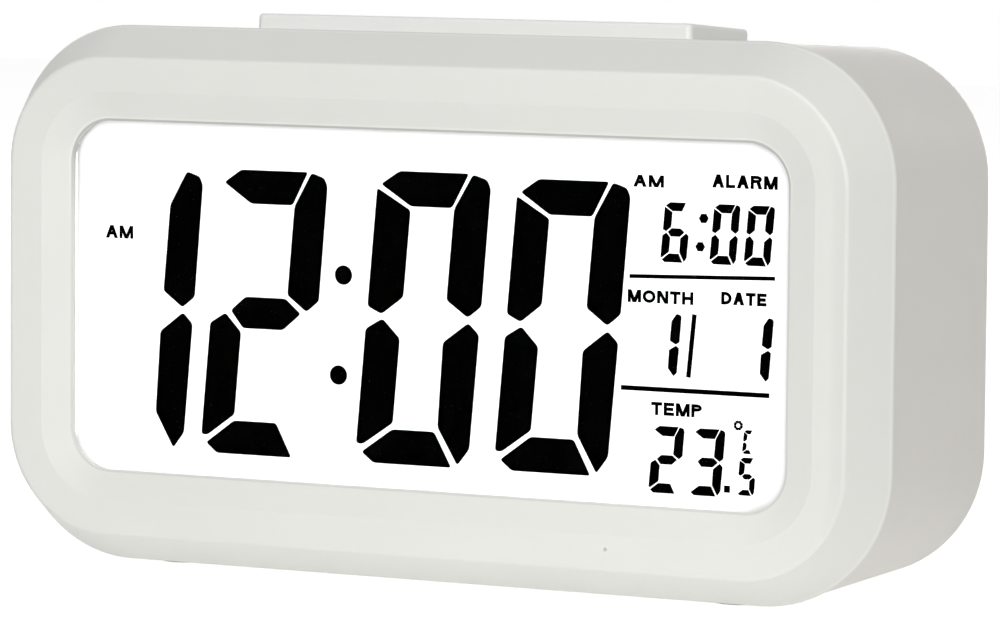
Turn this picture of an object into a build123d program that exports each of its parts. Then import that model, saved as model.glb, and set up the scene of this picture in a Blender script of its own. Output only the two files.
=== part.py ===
from build123d import *
import math
import os

# A table-top digital clock: a moulded front frame and rear housing around a liquid-crystal display,
# with a snooze bar on top, five keys, a slide switch and a battery door at the back.
# Sizes are millimetres. While it is drawn, X runs right as seen from the front, Y is the depth behind
# the front ridge, and Z is the height above the middle of the frame. STAND then sets it on its feet.

# Outline of the case
CASE_WIDTH = 135.0
CASE_HEIGHT = 75.6
CASE_DEPTH = 45.0
CASE_CORNER_R = 18.8
WALL = 2.0
HOUSING_STEP = 0.25
SIDE_TAPER = 0.5
TOP_FALL = 1.8
BOTTOM_RISE = 0.4
REAR_CORNER_R = 18.0
REAR_EDGE_R = 3.0

# Front frame
RIDGE_INSET_X = 3.73
RIDGE_INSET_Z = 4.32
RIDGE_CORNER_R = 15.1
RIDGE_EDGE_R = 0.5
CHAMFER_DEPTH = 7.52
CHAMFER_WALL = 2.4
RIM_INSET = 0.12
SEAM_DEPTH = 7.8
SEAM_GROOVE = 0.4
FACE_THICKNESS = 2.2
OUTER_BAND = 4.8
OUTER_BAND_SINK = 0.45
CREST = 0.6
TONGUE_LENGTH = 2.4
TONGUE_THICKNESS = 1.2
TONGUE_CLEARANCE = 0.3

# Window and display
FACE_BAND_X = 9.17
FACE_BAND_Z = 8.88
WINDOW_CORNER_R = 5.9
WINDOW_SINK = 1.9
WINDOW_LIP = 0.7
WINDOW_SURROUND = 3.2
PANE_OVERLAP = 1.5
PANE_THICKNESS = 1.2
PANE_CLEARANCE = 0.1
GLASS_OVERLAP = 1.15
GLASS_THICKNESS = 0.7
CONTACT_LEDGE = 2.1
FILM_THICKNESS = 0.2
GUIDE_THICKNESS = 2.5
STACK_GAP = 0.1
LED_LENGTH = 3.0
LED_DEPTH = 1.4
LED_THICKNESS = 1.0
LED_COUNT = 3
LED_PITCH = 15.0
LED_BOARD_THICKNESS = 0.5
HOLDER_WALL = 1.0
HOLDER_WEB = 1.0
HOLDER_WINDOWS = 4
ELASTOMER_INSET = 8.2
ELASTOMER_THICKNESS = 1.5

# Boards
BOARD_THICKNESS = 1.6
BOARD_DEPTH = 11.0
BOARD_INSET_X = 11.5
BOARD_INSET_Z = 4.25
BOARD_CORNER_R = 13.0
BOARD_SCREW_INSET_X = 12.0
BOARD_SCREW_INSET_Z = 1.8
SMALL_BOARD_THICKNESS = 1.2
SMALL_BOARD_MARGIN = 1.0
CHIP_R = 9.0
CHIP_HEIGHT = 1.8
CHIP_RISE = 14.0
CRYSTAL_R = 1.0
CRYSTAL_LENGTH = 6.0
CRYSTAL_PLACE = (20.0, 8.0)
CAPACITOR_R = 2.5
CAPACITOR_HEIGHT = 7.0
CAPACITOR_EDGE_R = 0.4
CAPACITOR_PLACES = [(-26.0, 12.0), (-34.0, 12.0)]
RESISTOR_SIZE = (2.0, 0.6, 1.2)
RESISTOR_PITCH = 4.0
RESISTOR_PLACE = (14.0, -4.0)
RESISTOR_COLUMNS = 3
RESISTOR_ROWS = 2

# Screws
CASE_SCREW_INSET_X = 7.1
CASE_SCREW_INSET_Z = 18.75
CASE_SCREW_R = 1.1
CASE_SCREW_LENGTH = 12.0
CASE_SCREW_HEAD_R = 2.2
CASE_SCREW_HEAD = 1.6
CASE_SCREW_SEAT = 24.0
CASE_POST_FLOOR = 3.0
CASE_BOSS_R = 2.8
COUNTERBORE_R = 2.6
POST_R = 3.8
BOARD_SCREW_R = 0.9
BOARD_SCREW_LENGTH = 5.0
BOARD_SCREW_HEAD_R = 1.7
BOARD_SCREW_HEAD = 1.2
BOARD_BOSS_R = 2.2
SCREW_HOLE_CLEARANCE = 0.05
PILOT_SPARE = 1.0

# Snooze bar, drawn along its own upright, which leans back by the tilt in degrees
SNOOZE_LENGTH = 67.0
SNOOZE_WIDTH = 19.9
SNOOZE_PROUD = 2.15
SNOOZE_DEPTH = 26.7
SNOOZE_TILT = 3.9
SNOOZE_CORNER_R = 0.9
SNOOZE_EDGE_R = 0.6
SNOOZE_WALL = 1.4
SNOOZE_FLANGE = 1.3
SNOOZE_FLANGE_THICKNESS = 1.0
SNOOZE_CLEARANCE = 0.3
SNOOZE_TRAVEL = 0.6
SNOOZE_SWITCH_X = 20.0
SNOOZE_BOSS_R = 2.2
SNOOZE_BOSS_DROP = 0.5
SNOOZE_POST_X = 38.5
SNOOZE_BOARD_WIDTH = 8.6
FLANGE_GAP = 0.1

# Push switches
SWITCH_SIDE = 6.0
SWITCH_HEIGHT = 3.4
PLUNGER_R = 1.7
PLUNGER_LENGTH = 2.8
PLUNGER_PROUD = 0.9
PLUNGER_CLEARANCE = 0.05
PLUNGER_SPARE = 0.2

# Keys at the back
KEY_NAMES = ["mode", "set", "up", "down", "alarm"]
KEY_ROW_INSET_X = 37.5
KEY_ROW_GAP = 3.45
KEY_LENGTH = 9.0
KEY_HEIGHT = 5.0
KEY_PROUD = 1.0
KEY_EDGE_R = 0.5
KEY_FLANGE = 1.0
KEY_FLANGE_THICKNESS = 0.9
KEY_CLEARANCE = 0.15
KEY_TRAVEL = 0.5
KEY_BOARD_INSET_X = 14.5
KEY_BOARD_HEIGHT = 12.0
KEY_BOSS_GAP = 0.3

# Slide switch for the light sensor
SLIDE_INSET_X = 20.0
SLIDE_GRIP_LENGTH = 5.0
SLIDE_GRIP_HEIGHT = 3.0
SLIDE_PROUD = 0.8
SLIDE_TRAVEL = 2.0
SLIDE_CLEARANCE = 0.2
SLIDE_CORNER_R = 0.5
SLIDE_FLANGE = 1.6
SLIDE_BODY_LENGTH = 8.6
SLIDE_BODY_HEIGHT = 4.0
SLIDE_BODY_DEPTH = 3.6
SLIDE_LEVER = 1.5
SLIDE_LEVER_REACH = 1.8
GRIP_PITCH = 1.4
GRIP_CUT = 0.6
GRIP_COUNT = 3

# Battery bay, door and cells
BAY_X = 12.0
BAY_INSET_Z = 27.75
BAY_LENGTH = 52.0
BAY_WALL = 1.5
CELL_R = 5.25
CELL_LENGTH = 44.5
CELL_NUB_R = 1.9
CELL_NUB = 0.8
CELL_EDGE_R = 0.4
CELL_PITCH = 11.1
CELL_COUNT = 3
CELL_CLEARANCE = 0.15
CELL_END_GAP = 0.5
DOOR_THICKNESS = 1.6
DOOR_LEDGE_X = 2.7
DOOR_LEDGE_Z = 2.2
DOOR_CORNER_R = 2.5
DOOR_CLEARANCE = 0.2
DOOR_CELL_GAP = 0.75
DOOR_COLLAR = 1.5
TAB_LENGTH = 1.8
TAB_WIDTH = 6.0
TAB_THICKNESS = 1.0
TAB_CLEARANCE = 0.1
TAB_SWING_ROOM = 1.0
LATCH_WIDTH = 10.0
LATCH_SLIT = 0.8
LATCH_REACH = 9.0
LATCH_LEG = 3.0
LATCH_LEG_THICKNESS = 1.1
CONTACT_THICKNESS = 0.4
CONTACT_WIDTH = 8.0
CONTACT_BULGE = 0.9
LEAF_REACH = 5.0

# Sounder, sensors and small openings
SOUNDER_INSET_X = 25.5
SOUNDER_R = 13.5
SOUNDER_CERAMIC_R = 10.0
SOUNDER_THICKNESS = 0.3
SOUNDER_LEDGE = 1.0
SOUNDER_RING = 2.6
SOUNDER_WALL = 1.2
GRILLE_HOLE_R = 0.8
GRILLE_PITCH = 3.2
GRILLE_RINGS = 2
VENT_INSET_X = 19.0
VENT_COUNT = 4
VENT_PITCH = 2.6
VENT_WIDTH = 1.2
VENT_LENGTH = 8.0
SENSOR_X = 29.2
SENSOR_INSET_Z = 7.2
SENSOR_R = 1.25
SENSOR_LENGTH = 4.0
SENSOR_HOLE_R = 0.3
SENSOR_GAP = 0.3
BEAD_R = 1.1
BEAD_HEIGHT = 2.5

# Feet and leads
FOOT_R = 4.0
FOOT_INSET_X = 24.5
FOOT_FRONT = 14.0
FOOT_REAR_INSET = 8.0
FOOT_DROP = 0.5
FOOT_CHAMFER = 0.3
FOOT_SINK = 0.7
LEAD_R = 0.6
LEAD_SHARE = 0.45
BATTERY_LEAD_SPAN = 8.0
BATTERY_LEAD_OFFSET = 1.0
BUZZER_LEAD_SPAN = 4.0
BUZZER_LEAD_RISE = 6.0
SNOOZE_LEAD_X = 10.0
SNOOZE_LEAD_PITCH = 2.5
SNOOZE_LEAD_DROP = 5.0
SENSOR_WIRE_R = 0.25
RIBBON_WIDTH = 8.0
RIBBON_THICKNESS = 0.6
RIBBON_DROP = 2.5
RIBBON_STEP = 3.0
BATTERY_SOCKET_INSET = 9.0
BATTERY_SOCKET_RISE = 4.0
BUZZER_SOCKET_INSET = 10.0
BUZZER_SOCKET_DROP = 12.0
SOCKET_LENGTH = 6.0
SOCKET_WIDTH = 4.0
SOCKET_HEIGHT = 3.5
SOCKET_BORE = 1.75
TERMINAL_TAIL = 2.5

# What follows from the sizes above
OVERALL_DEPTH = CASE_DEPTH + max(KEY_PROUD, SLIDE_PROUD)
STAND = Location((0, -OVERALL_DEPTH / 2, CASE_HEIGHT / 2 + FOOT_DROP))
REAR_INNER = CASE_DEPTH - WALL
REAR_WIDTH = CASE_WIDTH - 2 * SIDE_TAPER
REAR_HEIGHT = CASE_HEIGHT - TOP_FALL - BOTTOM_RISE
REAR_DROP = (TOP_FALL - BOTTOM_RISE) / 2
RIDGE_WIDTH = CASE_WIDTH - 2 * RIDGE_INSET_X
RIDGE_HEIGHT = CASE_HEIGHT - 2 * RIDGE_INSET_Z
WINDOW_WIDTH = RIDGE_WIDTH - 2 * FACE_BAND_X
WINDOW_HEIGHT = RIDGE_HEIGHT - 2 * FACE_BAND_Z
BOARD_WIDTH = CASE_WIDTH - 2 * BOARD_INSET_X
BOARD_HEIGHT = CASE_HEIGHT - 2 * BOARD_INSET_Z
BOARD_SCREW_X = BOARD_WIDTH / 2 - BOARD_SCREW_INSET_X
BOARD_SCREW_Z = BOARD_HEIGHT / 2 - BOARD_SCREW_INSET_Z
CASE_SCREW_X = CASE_WIDTH / 2 - CASE_SCREW_INSET_X
CASE_SCREW_Z = CASE_HEIGHT / 2 - CASE_SCREW_INSET_Z
BAY_Z = BAY_INSET_Z - CASE_HEIGHT / 2
SOUNDER_X = SOUNDER_INSET_X - CASE_WIDTH / 2
SOUNDER_Z = BAY_Z
VENT_X = VENT_INSET_X - CASE_WIDTH / 2
SENSOR_Z = SENSOR_INSET_Z - CASE_HEIGHT / 2
FOOT_X = CASE_WIDTH / 2 - FOOT_INSET_X
SLIDE_X = CASE_WIDTH / 2 - SLIDE_INSET_X
KEY_BOARD_LENGTH = CASE_WIDTH - 2 * KEY_BOARD_INSET_X
CHIP_Z = BAY_Z + CHIP_RISE
LAST_KEY_X = CASE_WIDTH / 2 - KEY_ROW_INSET_X
KEY_PITCH = 2 * LAST_KEY_X / (len(KEY_NAMES) - 1)
KEY_BOSS_X = LAST_KEY_X + KEY_LENGTH / 2 + KEY_FLANGE + BOARD_BOSS_R + KEY_BOSS_GAP
FOOT_REAR = CASE_DEPTH - FOOT_REAR_INSET
TAPER_LENGTH = CASE_DEPTH - SEAM_DEPTH
TOP_ANGLE = math.degrees(math.atan2(TOP_FALL - HOUSING_STEP, TAPER_LENGTH))


def top_z(depth):
    share = (depth - SEAM_DEPTH) / TAPER_LENGTH
    return CASE_HEIGHT / 2 - HOUSING_STEP - (TOP_FALL - HOUSING_STEP) * share


def bottom_z(depth):
    share = (depth - SEAM_DEPTH) / TAPER_LENGTH
    return -CASE_HEIGHT / 2 + HOUSING_STEP + (BOTTOM_RISE - HOUSING_STEP) * share


SNOOZE_PLACE = Location((0, SNOOZE_DEPTH, top_z(SNOOZE_DEPTH)), (-SNOOZE_TILT, 0, 0))


def on_depth(depth):
    return Plane.XZ.offset(-depth)


def slab(sketch, depth, thickness):
    return extrude(on_depth(depth) * sketch, amount=-thickness)


def plate(width, height, radius, depth, thickness, x=0.0, z=0.0):
    return slab(Pos(x, z) * RectangleRounded(width, height, radius), depth, thickness)


def block(x_span, depth_span, z_span):
    low = (x_span[0], depth_span[0], z_span[0])
    sizes = (x_span[1] - x_span[0], depth_span[1] - depth_span[0], z_span[1] - z_span[0])
    return Pos(*low) * Box(*sizes, align=(Align.MIN, Align.MIN, Align.MIN))


def round_bar(x, z, radius, depth, length):
    return slab(Pos(x, z) * Circle(radius), depth, length)


def rounded_loft(sections):
    faces = []
    for width, height, radius, depth, drop in sections:
        faces.append(on_depth(depth) * Pos(0, -drop) * RectangleRounded(width, height, radius))
    return loft(faces, ruled=True)


def edges_at_depth(solid, depth):
    return [e for e in solid.edges() if abs(e.bounding_box().min.Y - depth) < 1e-3
            and abs(e.bounding_box().max.Y - depth) < 1e-3]


# Display stack, front to back
PANE_FRONT = WINDOW_SINK + WINDOW_LIP
SURROUND_BACK = PANE_FRONT + PANE_THICKNESS + STACK_GAP
FRONT_FILM = SURROUND_BACK
FRONT_GLASS = FRONT_FILM + FILM_THICKNESS
REAR_GLASS = FRONT_GLASS + GLASS_THICKNESS
REAR_FILM = REAR_GLASS + GLASS_THICKNESS
DIFFUSER = REAR_FILM + FILM_THICKNESS + STACK_GAP
GUIDE = DIFFUSER + FILM_THICKNESS
REFLECTOR = GUIDE + GUIDE_THICKNESS
WEB = REFLECTOR + FILM_THICKNESS
GLASS_WIDTH = WINDOW_WIDTH + 2 * GLASS_OVERLAP
GLASS_TOP = WINDOW_HEIGHT / 2 + GLASS_OVERLAP
HOLDER_WIDTH = GLASS_WIDTH + 2 * (HOLDER_WALL + STACK_GAP)
HOLDER_TOP = GLASS_TOP + HOLDER_WALL + STACK_GAP
HOLDER_BOTTOM = -GLASS_TOP - CONTACT_LEDGE - HOLDER_WALL - STACK_GAP
LED_STACK = LED_THICKNESS + LED_BOARD_THICKNESS
GUIDE_WIDTH = GLASS_WIDTH - LED_STACK
ELASTOMER_LENGTH = GLASS_WIDTH - 2 * ELASTOMER_INSET
BOARD_BACK = BOARD_DEPTH + BOARD_THICKNESS


def frame_outline(depth, inset):
    # Size and corner radius of the frame's chamfered outside at a depth, drawn in by inset
    share = min(depth, CHAMFER_DEPTH) / CHAMFER_DEPTH
    wide = CASE_WIDTH - 2 * RIM_INSET
    high = CASE_HEIGHT - 2 * RIM_INSET
    radius = CASE_CORNER_R - RIM_INSET
    return (RIDGE_WIDTH + (wide - RIDGE_WIDTH) * share - 2 * inset,
            RIDGE_HEIGHT + (high - RIDGE_HEIGHT) * share - 2 * inset,
            RIDGE_CORNER_R + (radius - RIDGE_CORNER_R) * share - inset)


def make_front_frame():
    outer = rounded_loft([
        (*frame_outline(0, 0), 0, 0),
        (*frame_outline(CHAMFER_DEPTH, 0), CHAMFER_DEPTH, 0),
        (CASE_WIDTH, CASE_HEIGHT, CASE_CORNER_R, SEAM_DEPTH, 0)])
    outer = fillet(edges_at_depth(outer, 0), RIDGE_EDGE_R)
    tongue_out = HOUSING_STEP + WALL + TONGUE_CLEARANCE
    tongue_in = tongue_out + TONGUE_THICKNESS
    inner_end = (CASE_WIDTH - 2 * tongue_in, CASE_HEIGHT - 2 * tongue_in, CASE_CORNER_R - tongue_in)
    hollow = rounded_loft([
        (*frame_outline(FACE_THICKNESS, CHAMFER_WALL), FACE_THICKNESS, 0),
        (*inner_end, CHAMFER_DEPTH, 0),
        (*inner_end, SEAM_DEPTH + TONGUE_LENGTH, 0)])
    tongue = plate(CASE_WIDTH - 2 * tongue_out, CASE_HEIGHT - 2 * tongue_out,
                   CASE_CORNER_R - tongue_out, SEAM_DEPTH - WALL, WALL + TONGUE_LENGTH)
    frame = outer + tongue - hollow

    # Thick surround behind the window, with the pocket that the clear pane drops into
    frame += plate(WINDOW_WIDTH + 2 * WINDOW_SURROUND, WINDOW_HEIGHT + 2 * WINDOW_SURROUND,
                   WINDOW_CORNER_R + WINDOW_SURROUND, FACE_THICKNESS / 2,
                   SURROUND_BACK - FACE_THICKNESS / 2)
    pocket = PANE_OVERLAP + PANE_CLEARANCE
    frame -= plate(WINDOW_WIDTH + 2 * pocket, WINDOW_HEIGHT + 2 * pocket, WINDOW_CORNER_R + pocket,
                   PANE_FRONT, SURROUND_BACK - PANE_FRONT)

    # The face slopes down to the window, gently from the ridge and then more steeply
    frame -= rounded_loft([
        (RIDGE_WIDTH - 2 * CREST, RIDGE_HEIGHT - 2 * CREST, RIDGE_CORNER_R - CREST, 0, 0),
        (RIDGE_WIDTH - 2 * OUTER_BAND, RIDGE_HEIGHT - 2 * OUTER_BAND, RIDGE_CORNER_R - OUTER_BAND,
         OUTER_BAND_SINK, 0),
        (WINDOW_WIDTH, WINDOW_HEIGHT, WINDOW_CORNER_R, WINDOW_SINK, 0)])
    frame -= plate(WINDOW_WIDTH, WINDOW_HEIGHT, WINDOW_CORNER_R, 0, SURROUND_BACK)

    for side in (-1, 1):
        for end in (-1, 1):
            x, z = side * CASE_SCREW_X, end * CASE_SCREW_Z
            boss_end = CASE_SCREW_SEAT - CASE_POST_FLOOR
            pilot = CASE_SCREW_LENGTH - CASE_POST_FLOOR + PILOT_SPARE
            frame += round_bar(x, z, CASE_BOSS_R, FACE_THICKNESS, boss_end - FACE_THICKNESS)
            frame -= round_bar(x, z, CASE_SCREW_R + SCREW_HOLE_CLEARANCE, boss_end - pilot, pilot)
            x, z = side * BOARD_SCREW_X, end * BOARD_SCREW_Z
            pilot = BOARD_SCREW_LENGTH - BOARD_THICKNESS + PILOT_SPARE
            frame += round_bar(x, z, BOARD_BOSS_R, FACE_THICKNESS, BOARD_DEPTH - FACE_THICKNESS)
            frame -= round_bar(x, z, BOARD_SCREW_R + SCREW_HOLE_CLEARANCE, BOARD_DEPTH - pilot, pilot)
    frame -= round_bar(SENSOR_X, SENSOR_Z, SENSOR_HOLE_R, 0, FACE_THICKNESS)
    return frame


def make_display():
    parts = {}
    parts["display_window"] = plate(
        WINDOW_WIDTH + 2 * PANE_OVERLAP, WINDOW_HEIGHT + 2 * PANE_OVERLAP,
        WINDOW_CORNER_R + PANE_OVERLAP, PANE_FRONT, PANE_THICKNESS)
    half = GLASS_WIDTH / 2
    inner = half - GLASS_OVERLAP / 2
    film_top = GLASS_TOP - GLASS_OVERLAP / 2

    def sheet(x_half, depth, thickness, bottom, top):
        return block((-x_half, x_half), (depth, depth + thickness), (bottom, top))

    parts["lcd_front_polariser"] = sheet(inner, FRONT_FILM, FILM_THICKNESS, -film_top, film_top)
    parts["lcd_front_glass"] = sheet(half, FRONT_GLASS, GLASS_THICKNESS,
                                     -GLASS_TOP - CONTACT_LEDGE, GLASS_TOP)
    parts["lcd_rear_glass"] = sheet(half, REAR_GLASS, GLASS_THICKNESS, -GLASS_TOP, GLASS_TOP)
    parts["lcd_rear_polariser"] = sheet(inner, REAR_FILM, FILM_THICKNESS, -film_top, film_top)
    guide_span = (-half, -half + GUIDE_WIDTH)
    guide_z = (-film_top, film_top)
    parts["backlight_diffuser"] = block(guide_span, (DIFFUSER, GUIDE), guide_z)
    parts["light_guide"] = block(guide_span, (GUIDE, REFLECTOR), guide_z)
    parts["reflector_sheet"] = block(guide_span, (REFLECTOR, WEB), guide_z)
    middle = GUIDE + GUIDE_THICKNESS / 2
    led_x = guide_span[1]
    leds = []
    for i in range(LED_COUNT):
        z = (i - (LED_COUNT - 1) / 2) * LED_PITCH
        leds.append(block((led_x, led_x + LED_THICKNESS), (middle - LED_DEPTH / 2, middle + LED_DEPTH / 2),
                          (z - LED_LENGTH / 2, z + LED_LENGTH / 2)))
    parts["backlight_leds"] = Compound(children=leds)
    reach = (LED_COUNT - 1) / 2 * LED_PITCH + LED_LENGTH
    led_board = block((led_x + LED_THICKNESS, half), (GUIDE, REFLECTOR), (-reach, reach))
    tail = LED_LENGTH
    led_board += block((led_x + LED_THICKNESS, half), (REFLECTOR, BOARD_DEPTH), (-tail, tail))
    parts["led_board"] = led_board

    # Moulded holder: four walls round the stack and a web behind it, with lightening windows
    holder = block((-HOLDER_WIDTH / 2, HOLDER_WIDTH / 2), (SURROUND_BACK, BOARD_DEPTH),
                   (HOLDER_BOTTOM, HOLDER_TOP))
    inside_x = half + STACK_GAP
    low = HOLDER_BOTTOM + HOLDER_WALL
    high = HOLDER_TOP - HOLDER_WALL
    holder -= block((-inside_x, inside_x), (SURROUND_BACK, WEB), (low, high))
    holder -= block((-inside_x, inside_x), (WEB + HOLDER_WEB, BOARD_DEPTH), (low, high))
    bar = 2 * HOLDER_WALL
    window = (2 * inside_x - (HOLDER_WINDOWS + 1) * bar) / HOLDER_WINDOWS
    for i in range(HOLDER_WINDOWS):
        x = -inside_x + bar + i * (window + bar)
        for z_low in (3 * HOLDER_WALL, -high + 3 * HOLDER_WALL):
            z_span = (z_low, z_low + high - 6 * HOLDER_WALL)
            holder -= block((x, x + window), (WEB, WEB + HOLDER_WEB), z_span)
    strip_top = -GLASS_TOP - CONTACT_LEDGE / 2 + ELASTOMER_THICKNESS / 2
    strip_span = (strip_top - ELASTOMER_THICKNESS, strip_top)
    slot = ELASTOMER_LENGTH / 2 + STACK_GAP
    holder -= block((-slot, slot), (WEB, WEB + HOLDER_WEB),
                    (strip_span[0] - STACK_GAP, strip_span[1] + STACK_GAP))
    holder -= block((led_x + LED_THICKNESS - STACK_GAP, inside_x), (WEB, WEB + HOLDER_WEB),
                    (-tail - STACK_GAP, tail + STACK_GAP))
    parts["lcd_holder"] = holder
    parts["elastomer_connector"] = block((-ELASTOMER_LENGTH / 2, ELASTOMER_LENGTH / 2),
                                         (REAR_GLASS, BOARD_DEPTH), strip_span)
    return parts


def pan_screw(radius, length, head_radius, head):
    # Head's seat on the XY plane, shank down the negative Z axis, with a cross recess
    screw = Pos(0, 0, head / 2) * Cylinder(head_radius, head)
    screw = fillet(screw.edges().group_by(Axis.Z)[-1], head * 0.45)
    screw += Pos(0, 0, -length / 2) * Cylinder(radius, length)
    for turn in (0, 90):
        screw -= Rot(0, 0, turn) * Pos(0, 0, head) * Box(head_radius * 1.2, head_radius * 0.3, head * 0.9)
    return screw


def make_main_board():
    parts = {}
    board = plate(BOARD_WIDTH, BOARD_HEIGHT, BOARD_CORNER_R, BOARD_DEPTH, BOARD_THICKNESS)
    for side in (-1, 1):
        for end in (-1, 1):
            board -= round_bar(side * BOARD_SCREW_X, end * BOARD_SCREW_Z,
                               BOARD_SCREW_R + 2 * SCREW_HOLE_CLEARANCE, BOARD_DEPTH, BOARD_THICKNESS)
    parts["main_board"] = board
    # Blob of resin over the controller: a shallow cap of a large sphere
    sphere_r = (CHIP_R ** 2 + CHIP_HEIGHT ** 2) / (2 * CHIP_HEIGHT)
    blob = Pos(0, BOARD_BACK + CHIP_HEIGHT - sphere_r, CHIP_Z) * Sphere(sphere_r)
    blob &= block((-CHIP_R, CHIP_R), (BOARD_BACK, BOARD_BACK + CHIP_HEIGHT),
                  (CHIP_Z - CHIP_R, CHIP_Z + CHIP_R))
    parts["controller_chip"] = blob
    x, z = CRYSTAL_PLACE
    crystal = Cylinder(CRYSTAL_R, CRYSTAL_LENGTH)
    parts["quartz_crystal"] = Pos(x, BOARD_BACK + CRYSTAL_R, z) * Rot(0, 90, 0) * crystal
    cans = []
    for x, z in CAPACITOR_PLACES:
        can = round_bar(x, z, CAPACITOR_R, BOARD_BACK, CAPACITOR_HEIGHT)
        cans.append(fillet(can.edges().group_by(Axis.Y)[-1], CAPACITOR_EDGE_R))
    parts["capacitors"] = Compound(children=cans)
    chips = []
    width, height, length = RESISTOR_SIZE
    for row in range(RESISTOR_ROWS):
        for column in range(RESISTOR_COLUMNS):
            x = RESISTOR_PLACE[0] + RESISTOR_PITCH * column
            z = RESISTOR_PLACE[1] - RESISTOR_PITCH * row
            chips.append(block((x, x + width), (BOARD_BACK, BOARD_BACK + height), (z, z + length)))
    parts["chip_resistors"] = Compound(children=chips)
    return parts


# Where the leads plug in on the back of the main board
BATTERY_SOCKET = (BOARD_WIDTH / 2 - BATTERY_SOCKET_INSET, BAY_Z + BATTERY_SOCKET_RISE)
BUZZER_SOCKET = (BUZZER_SOCKET_INSET - BOARD_WIDTH / 2, SOUNDER_Z - BUZZER_SOCKET_DROP)
SOCKET_MOUTH = BOARD_BACK + SOCKET_HEIGHT
LEAD_END = SOCKET_MOUTH - SOCKET_BORE
LEAD_STEP = SOCKET_LENGTH / 4


def make_sockets():
    sockets = []
    for x, z in (BATTERY_SOCKET, BUZZER_SOCKET):
        body = block((x - SOCKET_LENGTH / 2, x + SOCKET_LENGTH / 2), (BOARD_BACK, SOCKET_MOUTH),
                     (z - SOCKET_WIDTH / 2, z + SOCKET_WIDTH / 2))
        for side in (-1, 1):
            body -= round_bar(x + side * LEAD_STEP, z, LEAD_R + STACK_GAP, LEAD_END, SOCKET_BORE)
        sockets.append(body)
    return Compound(children=sockets)


def make_light_sensor():
    # Small round-nosed sensor that looks out through the pinhole, on two stiff wires from the board
    start = FACE_THICKNESS + SENSOR_GAP
    body = round_bar(SENSOR_X, SENSOR_Z, SENSOR_R, start, SENSOR_LENGTH)
    body = fillet(body.edges().group_by(Axis.Y)[0], SENSOR_R * 0.8)
    for step in (-1, 1):
        body += round_bar(SENSOR_X + step * SENSOR_R / 2, SENSOR_Z, SENSOR_WIRE_R, start + SENSOR_LENGTH,
                          BOARD_DEPTH - start - SENSOR_LENGTH)
    return body


def ring_points(rings, pitch):
    # Hexagonal pattern of points round a centre point
    points = [(0.0, 0.0)]
    for ring in range(1, rings + 1):
        for i in range(6 * ring):
            side, step = divmod(i, ring)
            start = math.radians(60 * side)
            turn = math.radians(60 * side + 120)
            points.append((pitch * (ring * math.cos(start) + step * math.cos(turn)),
                           pitch * (ring * math.sin(start) + step * math.sin(turn))))
    return points


# Battery bay and door
BAY_HEIGHT = (CELL_COUNT - 1) * CELL_PITCH + 2 * (CELL_R + CELL_END_GAP)
CELL_DEPTH = CASE_DEPTH - DOOR_THICKNESS - DOOR_CELL_GAP - CELL_R
BAY_FLOOR = CELL_DEPTH - CELL_R - CELL_CLEARANCE - BAY_WALL
BAY_LEFT = BAY_X - BAY_LENGTH / 2
BAY_RIGHT = BAY_X + BAY_LENGTH / 2
RECESS_LENGTH = BAY_LENGTH + 2 * DOOR_LEDGE_X
RECESS_HEIGHT = BAY_HEIGHT + 2 * DOOR_LEDGE_Z
RECESS_FLOOR = CASE_DEPTH - DOOR_THICKNESS
DOOR_LENGTH = RECESS_LENGTH - 2 * DOOR_CLEARANCE
DOOR_HEIGHT = RECESS_HEIGHT - 2 * DOOR_CLEARANCE
RECESS_LEFT = BAY_X - RECESS_LENGTH / 2
RECESS_RIGHT = BAY_X + RECESS_LENGTH / 2
KEY_Z = BAY_Z + RECESS_HEIGHT / 2 + DOOR_COLLAR + KEY_ROW_GAP + KEY_BOARD_HEIGHT / 2
TAB_TOP = REAR_INNER - TAB_CLEARANCE
TAB_PLACES = [BAY_Z + step * CELL_PITCH / 2 for step in (-1, 1)]
CELL_PLACES = [BAY_Z + (i - (CELL_COUNT - 1) / 2) * CELL_PITCH for i in range(CELL_COUNT)]


def key_x(index):
    return (index - (len(KEY_NAMES) - 1) / 2) * KEY_PITCH


# Depths behind the keys
KEY_FLANGE_BACK = REAR_INNER - FLANGE_GAP
KEY_FLANGE_FRONT = KEY_FLANGE_BACK - KEY_FLANGE_THICKNESS
KEY_SWITCH_BACK = KEY_FLANGE_FRONT - PLUNGER_PROUD
KEY_BOARD_BACK = KEY_SWITCH_BACK - SWITCH_HEIGHT
KEY_BOARD_FRONT = KEY_BOARD_BACK - BOARD_THICKNESS

# Heights under the snooze bar, along its own upright; the bar leans more than the top it stands in
SNOOZE_LEAN = abs(math.tan(math.radians(SNOOZE_TILT - TOP_ANGLE)))
SNOOZE_FLANGE_TOP = -WALL - FLANGE_GAP - (SNOOZE_WIDTH / 2 + SNOOZE_FLANGE) * SNOOZE_LEAN
SNOOZE_FLANGE_BOTTOM = SNOOZE_FLANGE_TOP - SNOOZE_FLANGE_THICKNESS
SNOOZE_PRESS = SNOOZE_FLANGE_BOTTOM - SNOOZE_BOSS_DROP
SNOOZE_SWITCH_TOP = SNOOZE_PRESS - PLUNGER_PROUD
SNOOZE_BOARD_TOP = SNOOZE_SWITCH_TOP - SWITCH_HEIGHT


def housing_outline(depth, inset):
    # Section of the tapering housing at a depth, drawn in by inset
    share = (depth - SEAM_DEPTH) / TAPER_LENGTH
    wide = CASE_WIDTH - 2 * HOUSING_STEP
    high = CASE_HEIGHT - 2 * HOUSING_STEP
    radius = CASE_CORNER_R - HOUSING_STEP
    return (wide + (REAR_WIDTH - wide) * share - 2 * inset,
            high + (REAR_HEIGHT - high) * share - 2 * inset,
            radius + (REAR_CORNER_R - radius) * share - inset,
            depth, REAR_DROP * share)


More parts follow.
